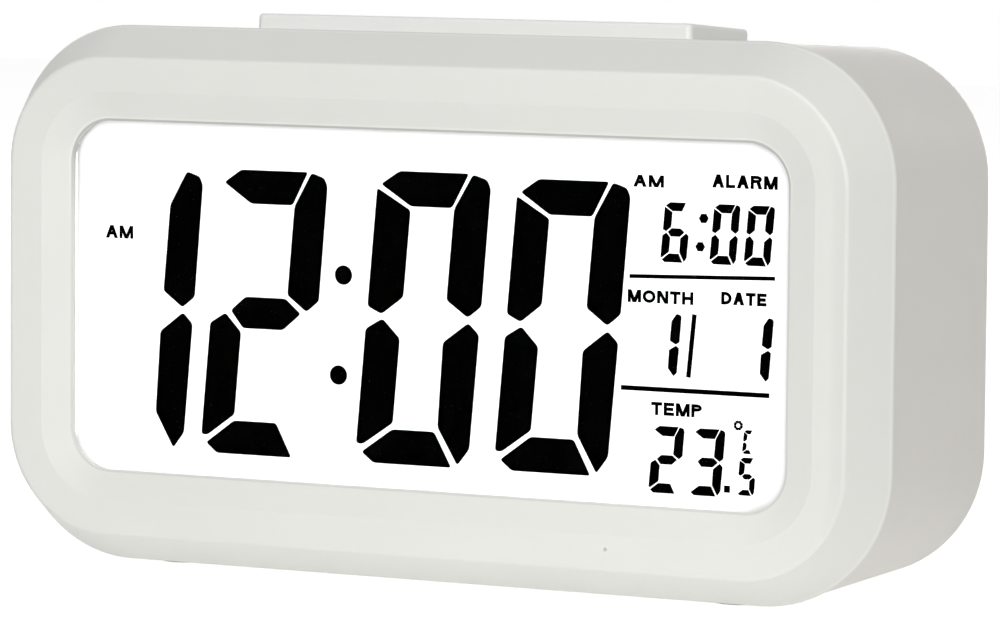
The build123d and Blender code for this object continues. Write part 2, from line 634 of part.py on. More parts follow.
def make_rear_housing():
    outer = rounded_loft([housing_outline(SEAM_DEPTH, 0), housing_outline(CASE_DEPTH, 0)])
    outer = fillet(edges_at_depth(outer, CASE_DEPTH), REAR_EDGE_R)
    housing = outer - rounded_loft([housing_outline(SEAM_DEPTH, WALL), housing_outline(REAR_INNER, WALL)])

    # Shadow groove where the two halves of the case meet
    groove = plate(CASE_WIDTH + 2 * WALL, CASE_HEIGHT + 2 * WALL, CASE_CORNER_R + WALL,
                   SEAM_DEPTH, SEAM_GROOVE)
    kept = HOUSING_STEP + SEAM_GROOVE
    groove -= plate(CASE_WIDTH - 2 * kept, CASE_HEIGHT - 2 * kept, CASE_CORNER_R - kept,
                    SEAM_DEPTH, SEAM_GROOVE)
    housing -= groove

    # Screw posts, bay, door collar, sounder ring and board bosses, all standing on the rear wall
    post_front = CASE_SCREW_SEAT - CASE_POST_FLOOR
    for side in (-1, 1):
        for end in (-1, 1):
            housing += round_bar(side * CASE_SCREW_X, end * CASE_SCREW_Z, POST_R,
                                 post_front, REAR_INNER - post_front)
    half_bay = BAY_HEIGHT / 2 + BAY_WALL
    housing += block((BAY_LEFT - BAY_WALL, BAY_RIGHT + BAY_WALL), (BAY_FLOOR, REAR_INNER),
                     (BAY_Z - half_bay, BAY_Z + half_bay))
    housing += plate(RECESS_LENGTH + 2 * DOOR_COLLAR, RECESS_HEIGHT + 2 * DOOR_COLLAR,
                     DOOR_CORNER_R + DOOR_COLLAR, REAR_INNER - WALL, WALL, BAY_X, BAY_Z)
    ring_r = SOUNDER_R + STACK_GAP
    ring_front = REAR_INNER - SOUNDER_RING
    ledge = REAR_INNER - SOUNDER_LEDGE
    housing += round_bar(SOUNDER_X, SOUNDER_Z, ring_r + SOUNDER_WALL, ring_front, SOUNDER_RING)
    housing -= round_bar(SOUNDER_X, SOUNDER_Z, ring_r, ring_front, ledge - ring_front)
    housing -= round_bar(SOUNDER_X, SOUNDER_Z, ring_r - SOUNDER_WALL, ledge, SOUNDER_LEDGE)
    for side in (-1, 1):
        length = REAR_INNER - KEY_BOARD_BACK
        housing += round_bar(side * KEY_BOSS_X, KEY_Z, BOARD_BOSS_R, KEY_BOARD_BACK, length)
        housing -= round_bar(side * KEY_BOSS_X, KEY_Z, BOARD_SCREW_R + SCREW_HOLE_CLEARANCE,
                             KEY_BOARD_BACK, length)

    # Deep screw holes from the back
    for side in (-1, 1):
        for end in (-1, 1):
            x, z = side * CASE_SCREW_X, end * CASE_SCREW_Z
            housing -= round_bar(x, z, COUNTERBORE_R, CASE_SCREW_SEAT, CASE_DEPTH - CASE_SCREW_SEAT)
            housing -= round_bar(x, z, CASE_SCREW_R + 2 * SCREW_HOLE_CLEARANCE, post_front, CASE_POST_FLOOR)

    # Bay: a square well over three round cradles, inside the recess for the door
    bay_z = (BAY_Z - BAY_HEIGHT / 2, BAY_Z + BAY_HEIGHT / 2)
    housing -= block((BAY_LEFT, BAY_RIGHT), (CELL_DEPTH - CELL_R / 4, CASE_DEPTH), bay_z)
    for z in CELL_PLACES:
        cradle = Cylinder(CELL_R + CELL_CLEARANCE, BAY_LENGTH)
        housing -= Pos(BAY_X, CELL_DEPTH, z) * Rot(0, 90, 0) * cradle
    for side, z in TERMINALS.items():
        wall_x = BAY_X + side * BAY_LENGTH / 2
        half = TERMINAL_TAIL / 2 + CELL_CLEARANCE
        housing -= block(sorted((wall_x, wall_x - side * (CONTACT_THICKNESS + CELL_CLEARANCE))),
                         (BAY_FLOOR, CELL_DEPTH), (z - half, z + half))
    housing -= plate(RECESS_LENGTH, RECESS_HEIGHT, DOOR_CORNER_R, RECESS_FLOOR, DOOR_THICKNESS, BAY_X, BAY_Z)
    slot_floor = TAB_TOP - TAB_THICKNESS - TAB_SWING_ROOM
    for z in TAB_PLACES:
        half = TAB_WIDTH / 2 + DOOR_CLEARANCE
        reach = RECESS_LEFT - TAB_LENGTH - 2 * DOOR_CLEARANCE
        housing -= block((reach, BAY_LEFT), (slot_floor, REAR_INNER), (z - half, z + half))
        housing -= block((RECESS_LEFT, BAY_LEFT), (slot_floor, RECESS_FLOOR), (z - half, z + half))
    half = LATCH_WIDTH / 2 - LATCH_SLIT + DOOR_CLEARANCE
    housing -= block((BAY_RIGHT, RECESS_RIGHT), (RECESS_FLOOR - LATCH_LEG - DOOR_CLEARANCE, RECESS_FLOOR),
                     (BAY_Z - half, BAY_Z + half))
    scoop_r = LATCH_WIDTH
    scoop_depth = DOOR_THICKNESS * 0.75
    scoop = Pos(RECESS_RIGHT, CASE_DEPTH + scoop_r - scoop_depth, BAY_Z) * Sphere(scoop_r)
    housing -= scoop & block((RECESS_RIGHT - DOOR_CLEARANCE, RECESS_RIGHT + scoop_r),
                             (REAR_INNER, CASE_DEPTH + WALL), (BAY_Z - scoop_r, BAY_Z + scoop_r))

    # Holes for the keys, the slide switch, the sounder and the air to the temperature sensor
    for i in range(len(KEY_NAMES)):
        grown = 2 * KEY_CLEARANCE
        hole = RectangleRounded(KEY_LENGTH + grown, KEY_HEIGHT + grown, (KEY_HEIGHT + grown) / 2 - 0.01)
        housing -= slab(Pos(key_x(i), KEY_Z) * hole, REAR_INNER, WALL)
    slide_room = SLIDE_GRIP_LENGTH + SLIDE_TRAVEL + 2 * SLIDE_CLEARANCE
    slide_height = SLIDE_GRIP_HEIGHT + 2 * SLIDE_CLEARANCE
    housing -= plate(slide_room, slide_height, SLIDE_CORNER_R + SLIDE_CLEARANCE, REAR_INNER, WALL,
                     SLIDE_X, KEY_Z)
    for x, z in ring_points(GRILLE_RINGS, GRILLE_PITCH):
        housing -= round_bar(SOUNDER_X + x, SOUNDER_Z + z, GRILLE_HOLE_R, REAR_INNER, WALL)
    for i in range(VENT_COUNT):
        x = VENT_X + (i - (VENT_COUNT - 1) / 2) * VENT_PITCH
        housing -= slab(Pos(x, KEY_Z) * SlotOverall(VENT_LENGTH, VENT_WIDTH, rotation=90), REAR_INNER, WALL)

    # Opening for the snooze bar, and the posts that carry its board
    room = 2 * SNOOZE_CLEARANCE
    opening = Pos(0, 0, -WALL / 2) * extrude(
        RectangleRounded(SNOOZE_LENGTH + room, SNOOZE_WIDTH + room, SNOOZE_CORNER_R + SNOOZE_CLEARANCE),
        amount=WALL, both=True)
    housing -= SNOOZE_PLACE * opening
    for side in (-1, 1):
        post = Pos(side * SNOOZE_POST_X, 0, SNOOZE_BOARD_TOP)
        length = -WALL / 2 - SNOOZE_BOARD_TOP
        bottom = (Align.CENTER, Align.CENTER, Align.MIN)
        housing += SNOOZE_PLACE * post * Cylinder(BOARD_BOSS_R, length, align=bottom)
        pilot = BOARD_SCREW_LENGTH - SMALL_BOARD_THICKNESS + PILOT_SPARE
        housing -= SNOOZE_PLACE * post * Cylinder(BOARD_SCREW_R + SCREW_HOLE_CLEARANCE, pilot, align=bottom)

    # Shallow pockets underneath for the feet
    for x, y in foot_places():
        pocket = Cylinder(FOOT_R + STACK_GAP, 2 * WALL, align=(Align.CENTER, Align.CENTER, Align.MAX))
        housing -= Pos(x, y, bottom_z(y) + FOOT_SINK) * pocket
    return housing


def foot_places():
    return [(side * FOOT_X, y) for side in (-1, 1) for y in (FOOT_FRONT, FOOT_REAR)]


def make_feet():
    feet = []
    for x, y in foot_places():
        base = -CASE_HEIGHT / 2 - FOOT_DROP
        height = bottom_z(y) + FOOT_SINK - base
        foot = Pos(x, y, base) * Cylinder(FOOT_R, height, align=(Align.CENTER, Align.CENTER, Align.MIN))
        feet.append(chamfer(foot.edges().group_by(Axis.Z)[0], FOOT_CHAMFER))
    return Compound(children=feet)


def make_battery_door():
    door = plate(DOOR_LENGTH, DOOR_HEIGHT, DOOR_CORNER_R - DOOR_CLEARANCE, RECESS_FLOOR, DOOR_THICKNESS,
                 BAY_X, BAY_Z)
    door_left = BAY_X - DOOR_LENGTH / 2
    door_right = BAY_X + DOOR_LENGTH / 2
    for z in TAB_PLACES:
        z_span = (z - TAB_WIDTH / 2, z + TAB_WIDTH / 2)
        door += block((door_left, BAY_LEFT - DOOR_CLEARANCE), (TAB_TOP - TAB_THICKNESS, RECESS_FLOOR), z_span)
        door += block((RECESS_LEFT - TAB_LENGTH, BAY_LEFT - DOOR_CLEARANCE),
                      (TAB_TOP - TAB_THICKNESS, TAB_TOP), z_span)

    # Spring latch: a finger between two slits, with a leg behind it and ribs to grip
    half = LATCH_WIDTH / 2
    for side in (-1, 1):
        z = sorted((BAY_Z + side * half, BAY_Z + side * (half - LATCH_SLIT)))
        door -= block((door_right - LATCH_REACH, door_right), (RECESS_FLOOR, CASE_DEPTH), z)
    leg_half = half - LATCH_SLIT
    door += block((door_right - LATCH_LEG_THICKNESS, door_right - DOOR_CLEARANCE),
                  (RECESS_FLOOR - LATCH_LEG, RECESS_FLOOR), (BAY_Z - leg_half, BAY_Z + leg_half))
    rib_z = (BAY_Z - leg_half + GRIP_CUT, BAY_Z + leg_half - GRIP_CUT)
    for i in range(GRIP_COUNT):
        x = door_right - LATCH_REACH / 4 - i * GRIP_PITCH
        door -= block((x - GRIP_CUT, x), (CASE_DEPTH - GRIP_CUT, CASE_DEPTH), rib_z)
    return door


def make_cell(index):
    # Two cells point one way and the middle one the other; the button is the positive end
    side = 1 if index % 2 == 0 else -1
    can = Cylinder(CELL_R, CELL_LENGTH - CELL_NUB)
    can = fillet(can.edges(), CELL_EDGE_R)
    can += Pos(0, 0, CELL_LENGTH / 2) * Cylinder(CELL_NUB_R, CELL_NUB)
    shift = cell_shift(side)
    return Pos(BAY_X + shift, CELL_DEPTH, CELL_PLACES[index]) * Rot(0, 90 * side, 0) * can


def cell_shift(side):
    # The button end presses its plate, so the can sits off the middle of the bay
    button_tip = CELL_LENGTH / 2 + CELL_NUB / 2
    plate_face = BAY_LENGTH / 2 - CONTACT_THICKNESS - CONTACT_BULGE
    return side * (plate_face - button_tip)


TERMINALS = {1: CELL_PLACES[-1], -1: CELL_PLACES[0]}
TAIL_END = BAY_FLOOR - TERMINAL_TAIL


def contact_plate(side, cells):
    # One strip against an end wall of the bay, with a raised dish or a sprung leaf for each cell
    wall_x = BAY_X + side * BAY_LENGTH / 2
    face_x = wall_x - side * CONTACT_THICKNESS
    low, high = CELL_PLACES[min(cells)] - CONTACT_WIDTH / 2, CELL_PLACES[max(cells)] + CONTACT_WIDTH / 2
    back = CELL_DEPTH - CELL_R / 4 + 0.1
    strip = block(sorted((wall_x, face_x)), (back, CELL_DEPTH + CONTACT_WIDTH / 2), (low, high))
    for index in cells:
        z = CELL_PLACES[index]
        positive = (index % 2 == 0) == (side == 1)
        if positive:
            dish = Cylinder(CELL_NUB_R, CONTACT_BULGE + CONTACT_THICKNESS)
            strip += Pos(wall_x - side * (CONTACT_BULGE + CONTACT_THICKNESS) / 2, CELL_DEPTH + 1, z) \
                * Rot(0, 90, 0) * dish
        else:
            strip += sprung_leaf(side, wall_x, z)
    return strip


def sprung_leaf(side, wall_x, z):
    # A strip that leaves the wall near the door, bends over and rests on the flat end of the cell
    cell_end = BAY_X + cell_shift(-side) + side * (CELL_LENGTH - CELL_NUB) / 2
    reach = abs(wall_x - cell_end)
    top = CELL_DEPTH + CONTACT_WIDTH / 2
    t = CONTACT_THICKNESS
    outline = Polyline(
        (0, top), (-reach * 0.55, top), (-reach, CELL_DEPTH + 1.5), (-reach, CELL_DEPTH - 0.5),
        (-reach * 0.7, CELL_DEPTH - 1.2), (-reach * 0.7 + t, CELL_DEPTH - 1.2 + t),
        (-reach + t, CELL_DEPTH - 0.5 + t), (-reach + t, CELL_DEPTH + 1.5 - t),
        (-reach * 0.55 + t / 2, top - t), (0, top - t), close=True)
    leaf = extrude(make_face(outline), amount=LEAF_REACH / 2, both=True)
    placed = Pos(wall_x, 0, z) * leaf
    if side < 0:
        placed = mirror(placed, Plane.YZ.offset(wall_x))
    return placed


def make_contacts():
    top, middle, bottom = CELL_COUNT - 1, 1, 0
    bridges = [contact_plate(-1, (middle, top)), contact_plate(1, (bottom, middle))]
    terminals = []
    for side, cell in ((-1, bottom), (1, top)):
        wall_x = BAY_X + side * BAY_LENGTH / 2
        z = TERMINALS[side]
        tail = block(sorted((wall_x, wall_x - side * CONTACT_THICKNESS)), (TAIL_END, CELL_DEPTH),
                     (z - TERMINAL_TAIL / 2, z + TERMINAL_TAIL / 2))
        terminals.append(contact_plate(side, (cell,)) + tail)
    return Compound(children=bridges), Compound(children=terminals)


def make_key(index):
    x = key_x(index)
    outline = RectangleRounded(KEY_LENGTH, KEY_HEIGHT, KEY_HEIGHT / 2 - 0.01)
    cap = slab(Pos(x, KEY_Z) * outline, KEY_FLANGE_FRONT, CASE_DEPTH + KEY_PROUD - KEY_FLANGE_FRONT)
    cap = fillet(edges_at_depth(cap, CASE_DEPTH + KEY_PROUD), KEY_EDGE_R)
    cap += plate(KEY_LENGTH + 2 * KEY_FLANGE, KEY_HEIGHT + 2 * KEY_FLANGE, KEY_FLANGE,
                 KEY_FLANGE_FRONT, KEY_FLANGE_THICKNESS, x, KEY_Z)
    return cap


def make_key_plunger(index):
    return round_bar(key_x(index), KEY_Z, PLUNGER_R, KEY_FLANGE_FRONT - PLUNGER_LENGTH, PLUNGER_LENGTH)


def push_switch():
    # Square body standing on the XY plane, with the bore that its plunger runs in
    base = (Align.CENTER, Align.CENTER, Align.MIN)
    body = Box(SWITCH_SIDE, SWITCH_SIDE, SWITCH_HEIGHT, align=base)
    depth = PLUNGER_LENGTH - PLUNGER_PROUD + max(KEY_TRAVEL, SNOOZE_TRAVEL) + PLUNGER_SPARE
    bore = Cylinder(PLUNGER_R + PLUNGER_CLEARANCE, depth, align=base)
    return body - Pos(0, 0, SWITCH_HEIGHT - depth) * bore


def make_key_board():
    parts = {}
    board = plate(KEY_BOARD_LENGTH, KEY_BOARD_HEIGHT, SMALL_BOARD_MARGIN, KEY_BOARD_FRONT, BOARD_THICKNESS,
                  0, KEY_Z)
    for side in (-1, 1):
        board -= round_bar(side * KEY_BOSS_X, KEY_Z, BOARD_SCREW_R + 2 * SCREW_HOLE_CLEARANCE,
                           KEY_BOARD_FRONT, BOARD_THICKNESS)
    parts["key_board"] = board
    switches = []
    for i in range(len(KEY_NAMES)):
        switches.append(Pos(key_x(i), KEY_BOARD_BACK, KEY_Z) * Rot(-90, 0, 0) * push_switch())
    parts["key_switches"] = Compound(children=switches)

    half = SLIDE_BODY_LENGTH / 2
    body = block((SLIDE_X - half, SLIDE_X + half), (KEY_BOARD_BACK, KEY_BOARD_BACK + SLIDE_BODY_DEPTH),
                 (KEY_Z - SLIDE_BODY_HEIGHT / 2, KEY_Z + SLIDE_BODY_HEIGHT / 2))
    room = (SLIDE_LEVER + SLIDE_TRAVEL) / 2 + SLIDE_CLEARANCE
    width = SLIDE_LEVER / 2 + PLUNGER_CLEARANCE
    slot_floor = KEY_BOARD_BACK + SLIDE_BODY_DEPTH - SLIDE_LEVER_REACH - SLIDE_CLEARANCE
    body -= block((SLIDE_X - room, SLIDE_X + room), (slot_floor, KEY_BOARD_BACK + SLIDE_BODY_DEPTH),
                  (KEY_Z - width, KEY_Z + width))
    parts["slide_switch"] = body
    bead = Pos(VENT_X, KEY_BOARD_BACK + BEAD_HEIGHT, KEY_Z) * Sphere(BEAD_R)
    for step in (-1, 1):
        bead += round_bar(VENT_X + step * BEAD_R / 2, KEY_Z, SENSOR_WIRE_R, KEY_BOARD_BACK, BEAD_HEIGHT)
    parts["thermistor"] = bead
    return parts


def make_slide():
    # At rest the grip stands at the low-X end of its slot
    x = SLIDE_X - SLIDE_TRAVEL / 2
    grip = plate(SLIDE_GRIP_LENGTH, SLIDE_GRIP_HEIGHT, SLIDE_CORNER_R, KEY_FLANGE_FRONT,
                 CASE_DEPTH + SLIDE_PROUD - KEY_FLANGE_FRONT, x, KEY_Z)
    grip += plate(SLIDE_GRIP_LENGTH + 2 * SLIDE_FLANGE, SLIDE_GRIP_HEIGHT + 2 * SLIDE_FLANGE,
                  SLIDE_CORNER_R, KEY_FLANGE_FRONT, KEY_FLANGE_THICKNESS, x, KEY_Z)
    top = CASE_DEPTH + SLIDE_PROUD
    for i in range(GRIP_COUNT):
        groove = x + (i - (GRIP_COUNT - 1) / 2) * GRIP_PITCH
        grip -= block((groove - GRIP_CUT / 2, groove + GRIP_CUT / 2), (top - GRIP_CUT / 2, top),
                      (KEY_Z - SLIDE_GRIP_HEIGHT / 2, KEY_Z + SLIDE_GRIP_HEIGHT / 2))
    lever_front = KEY_BOARD_BACK + SLIDE_BODY_DEPTH - SLIDE_LEVER_REACH
    lever = block((x - SLIDE_LEVER / 2, x + SLIDE_LEVER / 2), (lever_front, KEY_FLANGE_FRONT),
                  (KEY_Z - SLIDE_LEVER / 2, KEY_Z + SLIDE_LEVER / 2))
    return grip, lever


def make_snooze():
    parts = {}
    base = (Align.CENTER, Align.CENTER, Align.MIN)
    outline = RectangleRounded(SNOOZE_LENGTH, SNOOZE_WIDTH, SNOOZE_CORNER_R)
    height = SNOOZE_PROUD - SNOOZE_FLANGE_BOTTOM
    bar = Pos(0, 0, SNOOZE_FLANGE_BOTTOM) * extrude(outline, amount=height)
    bar = fillet(bar.edges().group_by(Axis.Z)[-1], SNOOZE_EDGE_R)
    bar += Pos(0, 0, SNOOZE_FLANGE_BOTTOM) * extrude(
        RectangleRounded(SNOOZE_LENGTH + 2 * SNOOZE_FLANGE, SNOOZE_WIDTH + 2 * SNOOZE_FLANGE,
                         SNOOZE_CORNER_R + SNOOZE_FLANGE), amount=SNOOZE_FLANGE_THICKNESS)
    inside = height - SNOOZE_WALL
    bar -= Pos(0, 0, SNOOZE_FLANGE_BOTTOM) * Box(SNOOZE_LENGTH - 2 * SNOOZE_WALL,
                                                 SNOOZE_WIDTH - 2 * SNOOZE_WALL, inside, align=base)
    rib = Box(SNOOZE_WALL, SNOOZE_WIDTH - SNOOZE_WALL, inside, align=base)
    for x in (-SNOOZE_SWITCH_X, 0, SNOOZE_SWITCH_X):
        bar += Pos(x, 0, SNOOZE_FLANGE_BOTTOM) * rib
    for side in (-1, 1):
        bar += Pos(side * SNOOZE_SWITCH_X, 0, SNOOZE_PRESS) * Cylinder(
            SNOOZE_BOSS_R, SNOOZE_FLANGE_BOTTOM + inside - SNOOZE_PRESS, align=base)
    parts["snooze_bar"] = SNOOZE_PLACE * bar

    plungers, switches = [], []
    for side in (-1, 1):
        x = side * SNOOZE_SWITCH_X
        plunger = Pos(x, 0, SNOOZE_PRESS - PLUNGER_LENGTH) * Cylinder(PLUNGER_R, PLUNGER_LENGTH, align=base)
        plungers.append(SNOOZE_PLACE * plunger)
        switches.append(SNOOZE_PLACE * Pos(x, 0, SNOOZE_BOARD_TOP) * push_switch())
    parts["snooze_plungers"] = Compound(children=plungers)
    parts["snooze_switches"] = Compound(children=switches)
    length = 2 * (SNOOZE_POST_X + BOARD_BOSS_R + SMALL_BOARD_MARGIN)
    board = Pos(0, 0, SNOOZE_BOARD_TOP - SMALL_BOARD_THICKNESS) * Box(
        length, SNOOZE_BOARD_WIDTH, SMALL_BOARD_THICKNESS, align=base)
    for side in (-1, 1):
        board -= Pos(side * SNOOZE_POST_X, 0, SNOOZE_BOARD_TOP) * Cylinder(
            BOARD_SCREW_R + 2 * SCREW_HOLE_CLEARANCE, 2 * SMALL_BOARD_THICKNESS)
    parts["snooze_board"] = SNOOZE_PLACE * board
    return parts


def make_screws():
    case, small = [], []
    from_back = Rot(-90, 0, 0)
    from_front = Rot(90, 0, 0)
    case_screw = pan_screw(CASE_SCREW_R, CASE_SCREW_LENGTH, CASE_SCREW_HEAD_R, CASE_SCREW_HEAD)
    board_screw = pan_screw(BOARD_SCREW_R, BOARD_SCREW_LENGTH, BOARD_SCREW_HEAD_R, BOARD_SCREW_HEAD)
    for side in (-1, 1):
        for end in (-1, 1):
            seat = Pos(side * CASE_SCREW_X, CASE_SCREW_SEAT, end * CASE_SCREW_Z)
            case.append(seat * from_back * case_screw)
            seat = Pos(side * BOARD_SCREW_X, BOARD_BACK, end * BOARD_SCREW_Z)
            small.append(seat * from_back * board_screw)
        small.append(Pos(side * KEY_BOSS_X, KEY_BOARD_FRONT, KEY_Z) * from_front * board_screw)
        under = Pos(side * SNOOZE_POST_X, 0, SNOOZE_BOARD_TOP - SMALL_BOARD_THICKNESS) * Rot(180, 0, 0)
        small.append(SNOOZE_PLACE * under * board_screw)
    return Compound(children=case), Compound(children=small)


def make_sounder():
    brass_back = REAR_INNER - SOUNDER_LEDGE
    brass = round_bar(SOUNDER_X, SOUNDER_Z, SOUNDER_R, brass_back - SOUNDER_THICKNESS, SOUNDER_THICKNESS)
    ceramic = round_bar(SOUNDER_X, SOUNDER_Z, SOUNDER_CERAMIC_R, brass_back - 2 * SOUNDER_THICKNESS,
                        SOUNDER_THICKNESS)
    return brass, ceramic


def bend_radii(points):
    # Each bend as wide as its two runs leave room for
    corners = [Vector(*p) for p in points]
    radii = []
    for before, here, after in zip(corners, corners[1:], corners[2:]):
        run_in, run_out = here - before, after - here
        turn = math.radians(run_in.get_angle(run_out))
        radii.append(LEAD_SHARE * min(run_in.length, run_out.length) / math.tan(turn / 2))
    return radii


def lead(points, section=None):
    # A wire or ribbon through these points, with an arc at every bend
    if len(points) > 2:
        path = FilletPolyline(points, radius=bend_radii(points))
    else:
        path = Line(points)
    start = Plane(origin=path @ 0, x_dir=(1, 0, 0), z_dir=path % 0)
    return sweep(start * (section or Circle(LEAD_R)), path=path)


def make_leads():
    parts = {}
    level = BAY_FLOOR - BATTERY_LEAD_SPAN
    for side, name in ((1, "positive"), (-1, "negative")):
        x = BAY_X + side * (BAY_LENGTH - CONTACT_THICKNESS) / 2
        z = TERMINALS[side]
        end_x = BATTERY_SOCKET[0] + side * LEAD_STEP
        end_z = BATTERY_SOCKET[1]
        y = level - side * BATTERY_LEAD_OFFSET
        parts[f"battery_lead_{name}"] = lead([(x, TAIL_END, z), (x, y, z), (end_x, y, end_z),
                                              (end_x, LEAD_END, end_z)])

    brass_face = REAR_INNER - SOUNDER_LEDGE - SOUNDER_THICKNESS
    near, far = BUZZER_SOCKET[0] + LEAD_STEP, BUZZER_SOCKET[0] - LEAD_STEP
    z = BUZZER_SOCKET[1]
    ceramic_z = z + BUZZER_LEAD_RISE
    parts["buzzer_leads"] = Compound(children=[
        lead([(near, brass_face, z), (near, LEAD_END, z)]),
        lead([(far, brass_face - SOUNDER_THICKNESS, ceramic_z), (far, level + BUZZER_LEAD_SPAN, ceramic_z),
              (far, level, z), (far, LEAD_END, z)])])

    run = (KEY_BOARD_FRONT - BOARD_BACK) / 3
    rear_z = KEY_Z - RIBBON_DROP
    front_z = rear_z - RIBBON_STEP
    ribbon = Rectangle(RIBBON_WIDTH, RIBBON_THICKNESS)
    parts["key_ribbon"] = lead([(0, KEY_BOARD_FRONT, rear_z), (0, KEY_BOARD_FRONT - run, rear_z),
                                (0, BOARD_BACK + run, front_z), (0, BOARD_BACK, front_z)], ribbon)
    leads = []
    under = SNOOZE_BOARD_TOP - SMALL_BOARD_THICKNESS
    for x in (SNOOZE_LEAD_X, SNOOZE_LEAD_X + SNOOZE_LEAD_PITCH):
        start = SNOOZE_PLACE * Pos(x, 0, under)
        below = SNOOZE_PLACE * Pos(x, 0, under - SNOOZE_LEAD_DROP)
        leads.append(lead([tuple(start.position), tuple(below.position),
                           (x, BOARD_BACK, below.position.Z)]))
    parts["snooze_leads"] = Compound(children=leads)
    return parts


nodes = {"front_frame": make_front_frame()}
nodes.update(make_display())
nodes.update(make_main_board())
nodes["lead_sockets"] = make_sockets()
nodes["light_sensor"] = make_light_sensor()
nodes["rear_housing"] = make_rear_housing()
nodes["rubber_feet"] = make_feet()
nodes["battery_door"] = make_battery_door()
for number in range(CELL_COUNT):
    nodes[f"battery_cell_{number + 1}"] = make_cell(number)
nodes["battery_bridges"], nodes["battery_terminals"] = make_contacts()
for number, name in enumerate(KEY_NAMES):
    nodes[f"{name}_key"] = make_key(number)
    nodes[f"{name}_plunger"] = make_key_plunger(number)
nodes.update(make_key_board())
nodes["sensor_knob"], nodes["sensor_lever"] = make_slide()
nodes.update(make_snooze())
nodes["housing_screws"], nodes["board_screws"] = make_screws()
nodes["buzzer_disc"], nodes["buzzer_ceramic"] = make_sounder()
nodes.update(make_leads())

os.makedirs("parts", exist_ok=True)
for name, shape in nodes.items():
    export_step(STAND * shape, f"parts/{name}.step")
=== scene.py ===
import math

import bmesh
import bpy
from mathutils import Matrix, Vector


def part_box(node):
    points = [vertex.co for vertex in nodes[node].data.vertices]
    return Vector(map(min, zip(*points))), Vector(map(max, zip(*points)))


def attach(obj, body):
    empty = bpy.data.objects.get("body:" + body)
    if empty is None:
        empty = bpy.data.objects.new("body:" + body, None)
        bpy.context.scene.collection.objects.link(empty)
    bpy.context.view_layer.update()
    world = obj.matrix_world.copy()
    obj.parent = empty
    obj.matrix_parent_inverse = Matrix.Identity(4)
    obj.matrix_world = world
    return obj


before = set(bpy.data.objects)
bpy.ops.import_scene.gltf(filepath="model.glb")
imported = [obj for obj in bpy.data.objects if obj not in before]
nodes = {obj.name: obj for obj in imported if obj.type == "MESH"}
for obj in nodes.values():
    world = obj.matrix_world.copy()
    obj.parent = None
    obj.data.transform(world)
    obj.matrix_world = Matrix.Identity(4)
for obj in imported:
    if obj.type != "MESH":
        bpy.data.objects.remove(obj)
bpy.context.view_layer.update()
MM = 0.001

# Measures are in metres. The relief of the materials, the marks on the display and the camera's sensor are
# in millimetres
case_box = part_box("front_frame")
MIDDLE_Z = (case_box[0][2] + case_box[1][2]) / 2
# Half the window's width and height, and its corner radius, as in the CAD
WINDOW_X, WINDOW_Z, WINDOW_R = 0.0546, 0.0246, 0.0059

# Materials

NOISE_ROUGHNESS = 0.55
PLASTIC_IOR = 1.5
PLASTIC_ROUGHNESS = 0.42


def srgb(r, g, b):
    """Colour written as 0-255 numbers, turned into the linear light that shaders take."""
    out = []
    for value in (r, g, b):
        c = value / 255
        out.append(c / 12.92 if c <= 0.04045 else ((c + 0.055) / 1.055) ** 2.4)
    return (*out, 1.0)


